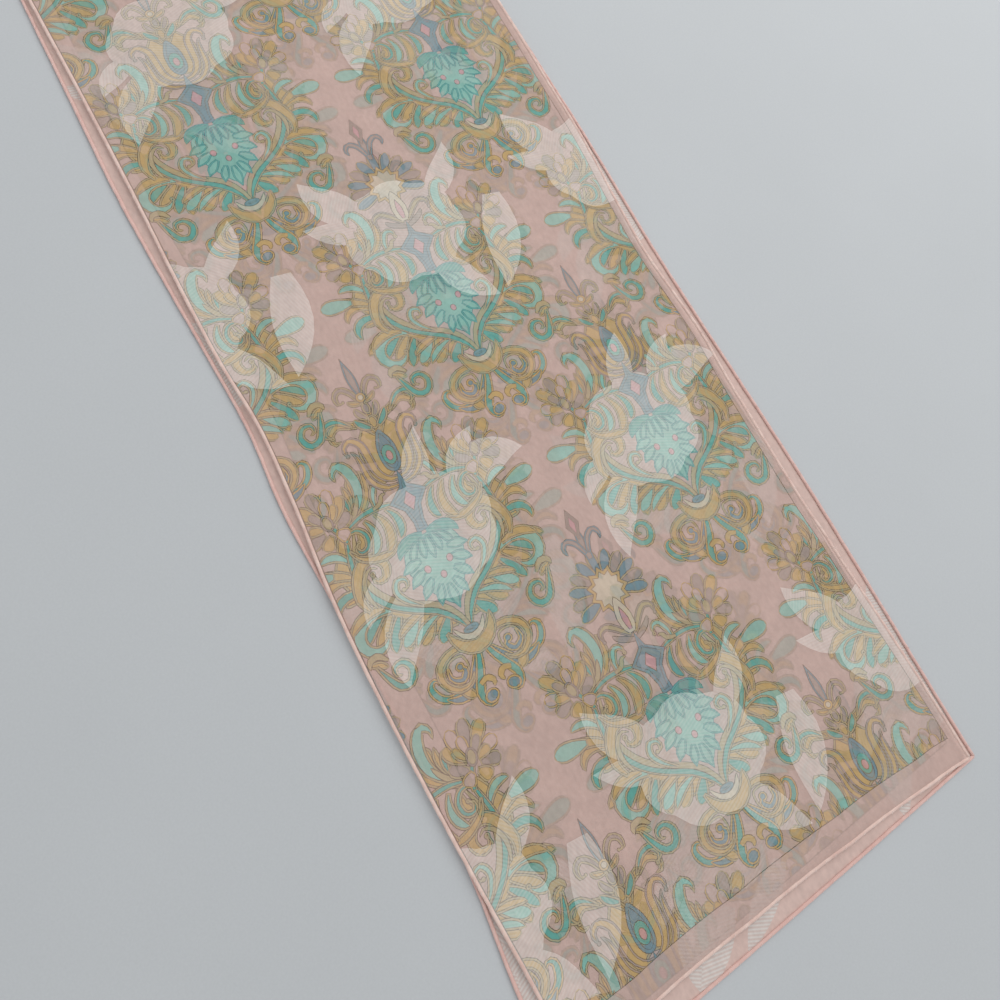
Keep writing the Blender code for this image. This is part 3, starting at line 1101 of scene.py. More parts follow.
EDGES = (
    EdgeRow(-0.404, (-0.1365, 0.1390), (-0.1460, 0.1435)),
    EdgeRow(-0.350, (-0.1370, 0.1390), (-0.1450, 0.1440)),
    EdgeRow(-0.300, (-0.1385, 0.1380), (-0.1400, 0.1450)),
    EdgeRow(-0.220, (-0.1400, 0.1355), (-0.1365, 0.1460)),
    EdgeRow(-0.140, (-0.1385, 0.1365), (-0.1385, 0.1450)),
    EdgeRow(-0.080, (-0.1335, 0.1375), (-0.1400, 0.1435)),
    EdgeRow(-0.030, (-0.1315, 0.1350), (-0.1370, 0.1430)),
    EdgeRow(0.005, (-0.1340, 0.1365), (-0.1380, 0.1435)),
    EdgeRow(0.060, (-0.1350, 0.1405), (-0.1405, 0.1445)),
    EdgeRow(0.120, (-0.1345, 0.1410), (-0.1425, 0.1440)),
    EdgeRow(0.200, (-0.1350, 0.1420), (-0.1415, 0.1430)),
    EdgeRow(0.300, (-0.1370, 0.1420), (-0.1400, 0.1425)),
    EdgeRow(0.402, (-0.1380, 0.1420), (-0.1380, 0.1420)),
)
RIDGES = (
    Ridge(-0.095, -0.012, 18, 0.070, 0.020, 0.0016),
    Ridge(-0.100, -0.150, -24, 0.080, 0.026, 0.0012),
    Ridge(0.098, -0.082, 152, 0.070, 0.022, 0.0018),
    Ridge(0.102, -0.232, 160, 0.060, 0.020, 0.0014),
    Ridge(0.094, 0.118, 30, 0.075, 0.026, 0.0013),
    Ridge(-0.020, -0.205, 104, 0.150, 0.042, 0.0017),
    Ridge(0.034, 0.062, 76, 0.150, 0.046, 0.0019),
    Ridge(-0.052, 0.215, 110, 0.120, 0.044, 0.0018),
    Ridge(0.060, 0.290, 86, 0.080, 0.036, 0.0016),
    Ridge(-0.092, -0.372, 84, 0.036, 0.016, 0.0011),
    Ridge(-0.024, -0.368, 95, 0.042, 0.018, 0.0013),
    Ridge(0.046, -0.374, 88, 0.034, 0.015, 0.0010),
    Ridge(0.104, -0.366, 99, 0.040, 0.017, 0.0012),
)


@dataclass
class ScarfForm:
    """Where the cloth lies in space: the same sizes as the part it stands for."""

    cloth: float = 0.0010
    gap: float = 0.0003
    hem_width: float = 0.0045
    hem_height: float = 0.0018
    fold_radius: float = 0.0030
    fold_outer: float = 0.404
    fold_lead: float = 0.0005
    side_blend: float = 0.018
    end_blend: float = 0.016
    fold_blend: float = 0.085
    upper_end: tuple[float, float, float] = (-0.3925, -0.3880, -0.3920)
    lower_end: tuple[float, float, float] = (-0.4040, -0.4000, -0.3940)
    ripple: float = 0.00022
    ripple_pace: tuple[float, float] = (34.0, 22.0)
    calm_sides: float = 12.0
    calm_end: float = 30.0

    @property
    def fold_start(self) -> float:
        """Where the flat layers end and the fold begins."""
        return self.fold_outer - self.fold_radius - self.fold_lead

    @property
    def layer_rest(self) -> float:
        """Height of the upper layer's underside where it rests on the lower one."""
        return self.cloth + self.gap

    def edge_x(self, layer: Layer, side: int, y: np.ndarray) -> np.ndarray:
        """Where a layer's side edge lies.

        Args:
            layer: The layer.
            side: 0 for the left edge, 1 for the right.
            y: Heights along the scarf.

        Returns:
            The edge's x at each height, on a smooth curve through the edge rows.
        """
        heights = np.array([row.y for row in EDGES])
        values = np.array([(row.upper if layer is Layer.UPPER else row.lower)[side] for row in EDGES])
        slopes = np.gradient(values, heights)
        y = np.clip(y, heights[0], heights[-1])
        at = np.clip(np.searchsorted(heights, y) - 1, 0, len(heights) - 2)
        span = heights[at + 1] - heights[at]
        t = (y - heights[at]) / span
        return (
            values[at] * (1 + 2 * t) * (1 - t) ** 2 + slopes[at] * span * t * (1 - t) ** 2
            + values[at + 1] * t * t * (3 - 2 * t) + slopes[at + 1] * span * t * t * (t - 1)
        )

    def end_y(self, layer: Layer, share: np.ndarray) -> np.ndarray:
        """Where a layer's near end lies.

        Args:
            layer: The layer.
            share: Places across it, from 0 at the left to 1 at the right.

        Returns:
            The end's y at each place, on a shallow bow.
        """
        left, middle, right = self.upper_end if layer is Layer.UPPER else self.lower_end
        bow = middle - (left + right) / 2
        return left + (right - left) * share + 4 * bow * share * (1 - share)

    def upper_under(self, x: np.ndarray, y: np.ndarray) -> np.ndarray:
        """Height of the upper layer's underside, ridges and raised edges included.

        Args:
            x: Places across the scarf.
            y: Places along it, one for each x.

        Returns:
            The height at each place.
        """
        side_rise = 2 * self.hem_height + self.gap - self.cloth - self.layer_rest
        end_rise = self.hem_height - self.cloth
        fold_rise = 2 * self.fold_radius - self.cloth - self.layer_rest
        room = np.minimum(x - self.edge_x(Layer.UPPER, 0, y), self.edge_x(Layer.UPPER, 1, y) - x)
        side = side_rise * (1 - ease((room - self.hem_width) / self.side_blend))
        end_room = y - self.upper_end[1]
        end = end_rise * (1 - ease((end_room - self.hem_width) / self.end_blend))
        fold = ease((y - self.fold_start + self.fold_blend) / self.fold_blend)
        low = self.layer_rest + np.maximum(side, end)
        for ridge in RIDGES:
            cosine, sine = math.cos(math.radians(ridge.angle)), math.sin(math.radians(ridge.angle))
            along = ((x - ridge.x) * cosine + (y - ridge.y) * sine) / ridge.length
            across = ((y - ridge.y) * cosine - (x - ridge.x) * sine) / ridge.width
            low = low + ridge.height * np.exp(-2 * along**2 - 2 * across**2)
        return low * (1 - fold) + (self.layer_rest + fold_rise) * fold

    def place(self, layer: Layer, cloth: PrintedCloth, flat: np.ndarray) -> np.ndarray:
        """Lays flat cloth points where they belong in space.

        Args:
            layer: The layer that the points are on.
            cloth: The flat cloth.
            flat: Rows of millimetres from the middle and from the near end.

        Returns:
            Rows of x, y and z in metres.
        """
        share = flat[:, 0] / cloth.half_width / 2 + 0.5
        along = np.minimum(flat[:, 1] / cloth.length, 1.0)
        start = self.end_y(layer, share)
        y = start + (self.fold_start - start) * along
        left, right = (self.edge_x(layer, side, y) for side in (0, 1))
        x = left + (right - left) * share
        if layer is Layer.LOWER:
            return np.stack([x, y, np.full(len(x), self.cloth / 2)], axis=1)
        z = self.upper_under(x, y) + self.cloth / 2
        edge = np.clip(np.minimum(share, 1 - share) * self.calm_sides, 0, 1)
        calm = edge * np.clip(along * self.calm_end, 0, 1) * np.clip((1 - along) * self.calm_sides, 0, 1)
        across, lengthwise = self.ripple_pace
        ripple = [
            noise.noise(Vector((px * across, py * lengthwise, 3.7))) for px, py in zip(x, y, strict=True)
        ]
        z = z + np.array(ripple) * self.ripple * calm
        beyond = np.maximum(flat[:, 1] - cloth.length, 0.0) * MM
        middle = self.fold_radius - self.cloth / 2
        angle = np.minimum(beyond / middle, math.pi)
        bent = beyond > 0
        y = np.where(bent, self.fold_start + self.fold_lead + middle * np.sin(angle), y)
        z = np.where(bent, self.fold_radius + middle * np.cos(angle), z)
        return np.stack([x, y, z], axis=1)


def ease(value: np.ndarray) -> np.ndarray:
    """A smooth step from 0 to 1."""
    value = np.clip(value, 0.0, 1.0)
    return value * value * (3 - 2 * value)


# ------------------------------------------------------------- shader effects

BUMP_DEPTH = 0.0002       # metres that a full step of height stands for
SATIN_RIBS = "satin_ribs"


def srgb(red: int, green: int, blue: int) -> Colour:
    """A display colour as the linear one that shaders take."""
    return tuple(
        c / 255 / 12.92 if c <= 10 else ((c / 255 + 0.055) / 1.055) ** 2.4 for c in (red, green, blue)
    )


class NodeBench:
    """Adds nodes to one tree and joins them."""

    def __init__(self, tree: bpy.types.NodeTree) -> None:
        """Takes the tree to work on."""
        self.tree = tree

    def node(self, kind: str, **settings: object) -> bpy.types.Node:
        """Adds a node.

        Args:
            kind: The node's type.
            settings: Values for its properties, by name.

        Returns:
            The node.
        """
        made = self.tree.nodes.new(kind)
        for name, value in settings.items():
            setattr(made, name, value)
        return made

    def join(self, source: object, socket: bpy.types.NodeSocket) -> None:
        """Links an output to an input, or sets the input to a plain value.

        Args:
            source: An output, or a value.
            socket: The input.
        """
        if isinstance(source, bpy.types.NodeSocket):
            self.tree.links.new(source, socket)
        else:
            socket.default_value = source

    def math(self, operation: str, *values: object) -> bpy.types.NodeSocket:
        """Adds a Math node.

        Args:
            operation: What it works out.
            values: One to three outputs or numbers to work on.

        Returns:
            The result.
        """
        made = self.node("ShaderNodeMath", operation=operation)
        for value, socket in zip(values, made.inputs, strict=False):
            self.join(value, socket)
        return made.outputs[0]

    def mix(self, share: object, one: object, two: object, blend: str = "MIX") -> bpy.types.NodeSocket:
        """Adds a colour Mix node.

        Args:
            share: How much of the second colour shows.
            one: First colour.
            two: Second colour.
            blend: Blend type.

        Returns:
            The mixed colour.
        """
        made = self.node("ShaderNodeMix", data_type="RGBA", blend_type=blend)
        for value, socket in zip((share, one, two), (made.inputs[0], made.inputs[6], made.inputs[7]),
                                 strict=True):
            self.join(value, socket)
        return made.outputs[2]

    def noise(self, vector: object, scale: object, detail: float = 2.0) -> bpy.types.NodeSocket:
        """Adds a noise texture.

        Args:
            vector: Where it is read.
            scale: Its scale.
            detail: Its detail.

        Returns:
            Its value.
        """
        made = self.node("ShaderNodeTexNoise")
        made.inputs["Detail"].default_value = detail
        self.join(vector, made.inputs["Vector"])
        self.join(scale, made.inputs["Scale"])
        return made.outputs["Fac"]

    def swung(self, value: object, amount: float) -> bpy.types.NodeSocket:
        """Turns a value from 0 to 1 into a shade that swings about 1 by an amount."""
        return self.math("MULTIPLY_ADD", value, amount, 1 - amount / 2)

    def tinted(self, colour: object, shade: object) -> bpy.types.NodeSocket:
        """Multiplies a colour by a shade.

        Args:
            colour: A colour output, or a plain colour with its alpha.
            shade: A number output.

        Returns:
            The shaded colour.
        """
        grey = self.node("ShaderNodeCombineXYZ")
        for socket in grey.inputs:
            self.join(shade, socket)
        return self.mix(1.0, colour, grey.outputs[0], "MULTIPLY")

    def bump(self, height: object, strength: float, shader: bpy.types.Node) -> None:
        """Raises a shader's surface.

        Args:
            height: The height that the bump follows.
            strength: The bump's strength.
            shader: The shader whose normal it bends.
        """
        made = self.node("ShaderNodeBump")
        made.inputs["Strength"].default_value = strength
        made.inputs["Distance"].default_value = BUMP_DEPTH
        self.join(height, made.inputs["Height"])
        self.join(made.outputs[0], shader.inputs["Normal"])


class Effects:
    """The shader node groups that several finishes share, each built once."""

    WOBBLE_SCALE: ClassVar[float] = 320.0
    WOBBLE_REACH: ClassVar[float] = 0.0003
    THREAD_SHADE: ClassVar[float] = 0.16
    CRINKLE_STRETCH: ClassVar[tuple[float, float, float]] = (1.0, 0.55, 1.0)
    LEAST_FIGURE: ClassVar[float] = 0.02

    def __init__(self) -> None:
        """Builds every group."""
        self.weave = self._group("crepe_weave", self._weave, ("Vector",), {"Pitch": 0.0006},
                                 ("Height", "Shade"))
        self.mottle = self._group("dye_mottle", self._mottle, ("Vector",), {"Scale": 40.0, "Amount": 0.08},
                                  ("Shade",))
        self.crinkle = self._group("cloth_crinkle", self._crinkle, ("Vector",), {"Scale": 220.0},
                                   ("Height",))
        self.satin = self._group("satin_figure", self._satin, ("Vector",),
                                 {"Figure": 0.0, "Pitch": 0.0016}, ("Mask", "Rib"))

    @staticmethod
    def _group(
        name: str, build: Callable[[NodeBench, dict, dict], None], vectors: tuple[str, ...],
        values: dict[str, float], outputs: tuple[str, ...],
    ) -> bpy.types.NodeTree:
        """Makes a shader group with named sockets and has it filled.

        Args:
            name: The group's name.
            build: Fills the group, given its bench, inputs and outputs.
            vectors: Names of the vector inputs.
            values: Names and default values of the number inputs.
            outputs: Names of the number outputs.

        Returns:
            The group.
        """
        tree = bpy.data.node_groups.new(name, "ShaderNodeTree")
        for vector in vectors:
            tree.interface.new_socket(name=vector, in_out="INPUT", socket_type="NodeSocketVector")
        for value, start in values.items():
            socket = tree.interface.new_socket(name=value, in_out="INPUT", socket_type="NodeSocketFloat")
            socket.default_value = start
        for output in outputs:
            tree.interface.new_socket(name=output, in_out="OUTPUT", socket_type="NodeSocketFloat")
        bench = NodeBench(tree)
        inputs = bench.node("NodeGroupInput").outputs
        build(bench, inputs, bench.node("NodeGroupOutput").inputs)
        return tree

    @staticmethod
    def _weave(bench: NodeBench, inputs: dict, outputs: dict) -> None:
        """Fine crossing threads, each a little uneven.

        Args:
            bench: The group's bench.
            inputs: Its inputs, by name.
            outputs: Its outputs, by name.
        """
        bent = bench.node("ShaderNodeVectorMath", operation="MULTIPLY_ADD")
        wobble = bench.node("ShaderNodeTexNoise")
        wobble.inputs["Scale"].default_value = Effects.WOBBLE_SCALE
        bench.join(inputs["Vector"], wobble.inputs["Vector"])
        bench.join(wobble.outputs["Color"], bent.inputs[0])
        bent.inputs[1].default_value = (Effects.WOBBLE_REACH, Effects.WOBBLE_REACH, 0.0)
        bench.join(inputs["Vector"], bent.inputs[2])
        parts = bench.node("ShaderNodeSeparateXYZ")
        bench.join(bent.outputs[0], parts.inputs[0])
        turns = bench.math("DIVIDE", 2 * math.pi, inputs["Pitch"])
        warp = bench.math("SINE", bench.math("MULTIPLY", parts.outputs[0], turns))
        weft = bench.math("SINE", bench.math("MULTIPLY", parts.outputs[1], turns))
        crossed = bench.math("MULTIPLY", warp, weft)
        height = bench.math("MULTIPLY_ADD", crossed, 0.5, 0.5)
        bench.join(height, outputs["Height"])
        bench.join(bench.swung(height, Effects.THREAD_SHADE), outputs["Shade"])

    @staticmethod
    def _mottle(bench: NodeBench, inputs: dict, outputs: dict) -> None:
        """Slow changes of shade, as dye takes unevenly.

        Args:
            bench: The group's bench.
            inputs: Its inputs, by name.
            outputs: Its outputs, by name.
        """
        value = bench.noise(inputs["Vector"], inputs["Scale"], 3.0)
        centred = bench.math("SUBTRACT", value, 0.5)
        swing = bench.math("MULTIPLY", centred, bench.math("MULTIPLY", inputs["Amount"], 2.0))
        bench.join(bench.math("ADD", swing, 1.0), outputs["Shade"])

    @staticmethod
    def _crinkle(bench: NodeBench, inputs: dict, outputs: dict) -> None:
        """Small soft crinkles of thin cloth: a height that the chiffon's bump follows and that the chiffon
        also turns into painted shade in its colour.

        Args:
            bench: The group's bench.
            inputs: Its inputs, by name.
            outputs: Its outputs, by name.
        """
        stretched = bench.node("ShaderNodeVectorMath", operation="MULTIPLY")
        bench.join(inputs["Vector"], stretched.inputs[0])
        stretched.inputs[1].default_value = Effects.CRINKLE_STRETCH
        bench.join(bench.noise(stretched.outputs[0], inputs["Scale"], 4.0), outputs["Height"])

    @staticmethod
    def _satin(bench: NodeBench, inputs: dict, outputs: dict) -> None:
        """A mask of the satin sprays and the ribs that cross each of their leaves.

        Args:
            bench: The group's bench.
            inputs: Its inputs, by name.
            outputs: Its outputs, by name.
        """
        bench.join(bench.math("GREATER_THAN", inputs["Figure"], Effects.LEAST_FIGURE), outputs["Mask"])
        angle = bench.math("MULTIPLY", inputs["Figure"], math.pi)
        parts = bench.node("ShaderNodeSeparateXYZ")
        bench.join(inputs["Vector"], parts.inputs[0])
        over = bench.math("MULTIPLY", parts.outputs[0], bench.math("COSINE", angle))
        up = bench.math("MULTIPLY", parts.outputs[1], bench.math("SINE", angle))
        turns = bench.math("DIVIDE", 2 * math.pi, inputs["Pitch"])
        wave = bench.math("SINE", bench.math("MULTIPLY", bench.math("ADD", over, up), turns))
        bench.join(bench.math("MULTIPLY_ADD", wave, 0.5, 0.5), outputs["Rib"])

    def use(self, bench: NodeBench, group: bpy.types.NodeTree, **values: object) -> bpy.types.NodeOutputs:
        """Places a group in a material with its own values.

        Args:
            bench: The material's bench.
            group: The group to place.
            values: A value or a link for each input, by name.

        Returns:
            The placed group's outputs.
        """
        placed = bench.node("ShaderNodeGroup", node_tree=group)
        for name, value in values.items():
            bench.join(value, placed.inputs[name])
        return placed.outputs


# ------------------------------------------------------------------- finishes


def blank(name: str) -> tuple[bpy.types.Material, NodeBench, bpy.types.Node, bpy.types.NodeSocket]:
    """Starts a material.

    Args:
        name: The material's name.

    Returns:
        The material, its bench, its shader and the place on the piece.
    """
    material = bpy.data.materials.new(name)
    material.use_nodes = True
    bench = NodeBench(material.node_tree)
    shader = material.node_tree.nodes["Principled BSDF"]
    return material, bench, shader, bench.node("ShaderNodeTexCoord").outputs["Object"]


@dataclass(frozen=True)
class ChiffonFinish:
    """Printed crepe chiffon in one ink, with satin sprays woven in and the crinkles' shade painted into its
    colour.
    """

    name: str
    colour: Colour
    alpha: float
    satin_colour: Colour = srgb(242, 240, 234)
    satin_share: float = 0.34
    rib_contrast: float = 0.14
    roughness: float = 0.78
    satin_roughness: float = 0.46
    sheen: float = 0.25
    sheen_roughness: float = 0.5
    specular: float = 0.3
    weave_pitch: float = 0.00062
    rib_pitch: float = 0.0018
    rib_height: float = 0.5
    mottle: tuple[float, float] = (46.0, 0.10)
    crinkle_scale: float = 420.0
    # strength of the painted shade that the crinkles' height puts into the colour
    crinkle_painted_shade: float = 0.34
    bump: float = 0.35

    def material(self, effects: Effects) -> bpy.types.Material:
        """Builds the finish from the shared effects.

        Args:
            effects: The shared node groups.

        Returns:
            The material.
        """
        material, bench, shader, place = blank(self.name)
        figure = bench.node("ShaderNodeAttribute", attribute_name=SATIN_RIBS).outputs["Fac"]
        satin = effects.use(bench, effects.satin, Vector=place, Figure=figure, Pitch=self.rib_pitch)
        weave = effects.use(bench, effects.weave, Vector=place, Pitch=self.weave_pitch)
        scale, amount = self.mottle
        mottle = effects.use(bench, effects.mottle, Vector=place, Scale=scale, Amount=amount)
        crinkle = effects.use(bench, effects.crinkle, Vector=place, Scale=self.crinkle_scale)
        plain = self.satin_share - self.rib_contrast / 2
        ribbed = bench.math("MULTIPLY_ADD", satin["Rib"], self.rib_contrast, plain)
        share = bench.math("MULTIPLY", satin["Mask"], ribbed)
        woven = bench.mix(share, (*self.colour, 1), (*self.satin_colour, 1))
        # painted shade: the crinkles' height lightens and darkens the base colour, as light on the crinkles
        # would
        fine = bench.swung(crinkle["Height"], self.crinkle_painted_shade)
        shade = bench.math("MULTIPLY", bench.math("MULTIPLY", weave["Shade"], mottle["Shade"]), fine)
        bench.join(bench.tinted(woven, shade), shader.inputs["Base Color"])
        smooth = bench.math("MULTIPLY", satin["Mask"], self.satin_roughness - self.roughness)
        bench.join(bench.math("ADD", smooth, self.roughness), shader.inputs["Roughness"])
        raised = bench.math("MULTIPLY", satin["Rib"], self.rib_height)
        ribs = bench.math("MULTIPLY", satin["Mask"], raised)
        height = bench.math("ADD", bench.math("ADD", weave["Height"], crinkle["Height"]), ribs)
        bench.bump(height, self.bump, shader)
        shader.inputs["Alpha"].default_value = self.alpha
        shader.inputs["Sheen Weight"].default_value = self.sheen
        shader.inputs["Sheen Roughness"].default_value = self.sheen_roughness
        shader.inputs["Specular IOR Level"].default_value = self.specular
        return material


@dataclass(frozen=True)
class HemFinish:
    """The rolled hem: several thicknesses of the cloth, dense and a little deeper in colour."""

    name: str
    colour: Colour
    rim: Colour
    alpha: float = 0.95
    roughness: float = 0.7
    sheen: float = 0.3
    weave_pitch: float = 0.0007
    mottle: tuple[float, float] = (170.0, 0.9)
    bump: float = 0.5

    def material(self, effects: Effects) -> bpy.types.Material:
        """Builds the finish from the shared effects.

        Args:
            effects: The shared node groups.

        Returns:
            The material.
        """
        material, bench, shader, place = blank(self.name)
        weave = effects.use(bench, effects.weave, Vector=place, Pitch=self.weave_pitch)
        scale, amount = self.mottle
        mottle = effects.use(bench, effects.mottle, Vector=place, Scale=scale, Amount=amount)
        share = bench.math("SUBTRACT", mottle["Shade"], 0.5)
        tone = bench.mix(share, (*self.colour, 1), (*self.rim, 1))
        bench.join(bench.tinted(tone, weave["Shade"]), shader.inputs["Base Color"])
        bench.bump(weave["Height"], self.bump, shader)
        shader.inputs["Roughness"].default_value = self.roughness
        shader.inputs["Alpha"].default_value = self.alpha
        shader.inputs["Sheen Weight"].default_value = self.sheen
        return material


@dataclass(frozen=True)
class ThreadFinish:
    """The pale sewing thread of the hem."""

    name: str = "hem_thread"
    colour: Colour = srgb(240, 228, 222)
    twist_pitch: float = 0.00035
    roughness: float = 0.4
    sheen: float = 0.2

    def material(self, effects: Effects) -> bpy.types.Material:
        """Builds the finish from the shared effects.

        Args:
            effects: The shared node groups.

        Returns:
            The material.
        """
        material, bench, shader, place = blank(self.name)
        twist = effects.use(bench, effects.weave, Vector=place, Pitch=self.twist_pitch)
        bench.join(bench.tinted((*self.colour, 1), twist["Shade"]), shader.inputs["Base Color"])
        shader.inputs["Roughness"].default_value = self.roughness
        shader.inputs["Sheen Weight"].default_value = self.sheen
        return material


@dataclass(frozen=True)
class TableFinish:
    """The plain pale matt top that the scarf lies on."""

    name: str = "pale_top"
    colour: Colour = srgb(189, 192, 194)
    slow: tuple[float, float] = (9.0, 0.03)
    fine: tuple[float, float] = (900.0, 0.05)
    roughness: float = 0.85

    def material(self, effects: Effects) -> bpy.types.Material:
        """Builds the finish from the shared effects.

        Args:
            effects: The shared node groups.

        Returns:
            The material.
        """
        material, bench, shader, place = blank(self.name)
        slow, fine = (
            effects.use(bench, effects.mottle, Vector=place, Scale=scale, Amount=amount)["Shade"]
            for scale, amount in (self.slow, self.fine)
        )
        shade = bench.math("MULTIPLY", slow, fine)
        bench.join(bench.tinted((*self.colour, 1), shade), shader.inputs["Base Color"])
        shader.inputs["Roughness"].default_value = self.roughness
        return material


INK_COLOURS = {
    Ink.GROUND: srgb(215, 187, 177),
    Ink.LINE: srgb(116, 102, 86),
    Ink.OLIVE: srgb(198, 180, 142),
    Ink.OCHRE: srgb(216, 182, 124),
    Ink.TEAL: srgb(112, 184, 172),
    Ink.AQUA: srgb(154, 206, 192),
    Ink.SLATE: srgb(132, 160, 170),
    Ink.MAUVE: srgb(184, 166, 156),
    Ink.CREAM: srgb(224, 210, 186),
    Ink.ROSE: srgb(220, 168, 172),
    Ink.DEEP: srgb(80, 138, 148),
}


# --------------------------------------------------------------------- pieces


def piece_from(
    name: str, places: np.ndarray, faces: list, finishes: list[bpy.types.Material]
) -> bpy.types.Object:
    """Makes a smooth-shaded piece.

    Args:
        name: The piece's name.
        places: Rows of x, y and z in metres.
        faces: Corner numbers of each face.
        finishes: Materials, one for each slot.

    Returns:
        The piece, linked into the scene.
    """
    mesh = bpy.data.meshes.new(name)
    mesh.from_pydata(places.tolist(), [], faces)
    for finish in finishes:
        mesh.materials.append(finish)
    mesh.polygons.foreach_set("use_smooth", [True] * len(mesh.polygons))
    mesh.update()
    piece = bpy.data.objects.new(name, mesh)
    bpy.context.scene.collection.objects.link(piece)
    return piece


@dataclass
class ClothLayer:
    """One layer of the folded scarf as printed cloth."""

    layer: Layer
    slot: str
    replaces: tuple[str, ...]
    alpha: float
    form: ScarfForm
    cloth: PrintedCloth
    depth: float = 1.0
    satin_alpha: float = 0.74
    satin_share: float = 0.34
    rib_contrast: float = 0.14
    # scale of the bare ground's colour; above 1 it is painted light
    bare: float = 1.0

    def build(self, plates: dict[Crown, MotifPlate], effects: Effects) -> bpy.types.Object:
        """Lays the flat cloth in space and dresses it.

        Args:
            plates: The worked-out medallion of each crown.
            effects: The shared node groups.

        Returns:
            The layer's piece.
        """
        places, corners, inks, ribs = self.cloth.laid_out(plates)
        if self.layer is Layer.LOWER:
            kept = places[corners].mean(1)[:, 1] < self.cloth.length
            corners, inks, ribs = corners[kept], inks[kept], ribs[kept]
        used, corners = np.unique(corners, return_inverse=True)
        corners = corners.reshape(-1, 3)
        placed = self.form.place(self.layer, self.cloth, places[used])
        finishes = [
            ChiffonFinish(f"{self.layer.value}_{ink.value}_{weave.value}", self._dyed(ink),
                          self.alpha if weave is Weave.CREPE else self.satin_alpha,
                          satin_share=self.satin_share, rib_contrast=self.rib_contrast).material(effects)
            for weave in Weave for ink in Ink
        ]
        piece = piece_from(f"{self.layer.value}_cloth", placed, corners.tolist(), finishes)
        slots = inks + len(Ink) * (ribs > 0)
        piece.data.polygons.foreach_set("material_index", slots.astype(np.int32))
        rib = piece.data.attributes.new(SATIN_RIBS, "FLOAT", "FACE")
        rib.data.foreach_set("value", ribs.astype(np.float32))
        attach(piece, "root")
        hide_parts(*self.replaces)
        return piece

    def _dyed(self, ink: Ink) -> Colour:
        """The ink's colour, deeper on a layer that shows its print from the wrong side; the bare ground is
        scaled by its own factor, which on the lower layer lightens it as painted light against the shade
        that it lies in.
        """
        share = self.bare if ink is Ink.GROUND else self.depth
        return tuple(min(1.0, c * share) for c in INK_COLOURS[ink])


@dataclass
class RolledHem:
    """A narrow rolled hem along one edge, sewn over with pale thread."""

    name: str
    replaces: tuple[str, ...]
    form: ScarfForm
    roll: float = 0.0010
    height: float = 0.0015
    step: float = 0.0035
    stitch_pitch: float = 0.0066
    stitch_slant: float = 0.0014
    stitch_from: float = 0.22
    stitch_sweep: float = 0.36
    stitch_steps: int = 4
    thread: float = 0.00012
    unevenness: float = 0.10
    sides: int = 10

    def build(
        self, path: list[Vector], outward: list[Vector], finishes: list[bpy.types.Material]
    ) -> bpy.types.Object:
        """Rolls the hem along a path.

        Args:
            path: Points of the hem's middle line.
            outward: At each point, the direction away from the cloth.
            finishes: The hem's and the thread's materials.

        Returns:
            The hem's piece.
        """
        places, faces, slots = [], [], []
        hand = 1 if (path[1] - path[0]).cross(outward[0]).z > 0 else -1
        for i, (point, out) in enumerate(zip(path, outward, strict=True)):
            ahead = path[min(i + 1, len(path) - 1)] - path[max(i - 1, 0)]
            up = ahead.cross(out).normalized() * hand
            swell = 1 + self.unevenness * noise.noise(Vector((i * 0.71, len(path) * 0.13, 0.5)))
            for k in range(self.sides):
                turn = 2 * math.pi * k / self.sides
                spot = point + out * math.cos(turn) * self.roll * swell
                spot = spot + up * math.sin(turn) * self.height / 2 * min(swell, 1.0)
                places.append(spot)
        for i in range(len(path) - 1):
            for k in range(self.sides):
                a, b = i * self.sides + k, i * self.sides + (k + 1) % self.sides
                faces.append((a, b, b + self.sides, a + self.sides)[::hand])
                slots.append(0)
        last = len(places) - self.sides
        faces.append(tuple(range(self.sides))[::-hand])
        faces.append(tuple(range(last, last + self.sides))[::hand])
        slots += [0, 0]
        self._sew(path, outward, hand, places, faces, slots)
        piece = piece_from(self.name, np.array([tuple(p) for p in places]), faces, finishes)
        piece.data.polygons.foreach_set("material_index", slots)
        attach(piece, "root")
        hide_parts(*self.replaces)
        return piece

    def _sew(
        self, path: list[Vector], outward: list[Vector], hand: int, places: list[Vector], faces: list,
        slots: list,
    ) -> None:
        """Adds slanting stitches over the roll.

        Args:
            path: Points of the hem's middle line.
            outward: At each point, the direction away from the cloth.
            hand: 1 or -1, the side on which the upper side lies.
            places: The hem's points, to add to.
            faces: The hem's faces, to add to.
            slots: The material slot of each face, to add to.
        """
        every = max(1, round(self.stitch_pitch / self.step))
        for i in range(every, len(path) - every, every):
            out = outward[i]
            ahead = (path[i + 1] - path[i - 1]).normalized()
            up = ahead.cross(out).normalized() * hand
            first = len(places)
            for s in range(self.stitch_steps + 1):
                turn = math.pi * (self.stitch_from + self.stitch_sweep * s / self.stitch_steps)
                spot = path[i] + out * math.cos(turn) * (self.roll + self.thread)
                spot = spot + up * math.sin(turn) * (self.height / 2 + self.thread)
                spot = spot + ahead * (s / self.stitch_steps - 0.5) * self.stitch_slant
                ray = (out * math.cos(turn) + up * math.sin(turn)).normalized() * self.thread
                for offset in (ray, ahead * self.thread, -ray, -ahead * self.thread):
                    places.append(spot + offset)
            for s in range(self.stitch_steps):
                for k in range(4):
                    a, b = first + 4 * s + k, first + 4 * s + (k + 1) % 4
                    faces.append((a, b, b + 4, a + 4))
                    slots.append(1)
            last = first + 4 * self.stitch_steps
            faces += [(first + 3, first + 2, first + 1, first), tuple(last + k for k in range(4))]
            slots += [1, 1]


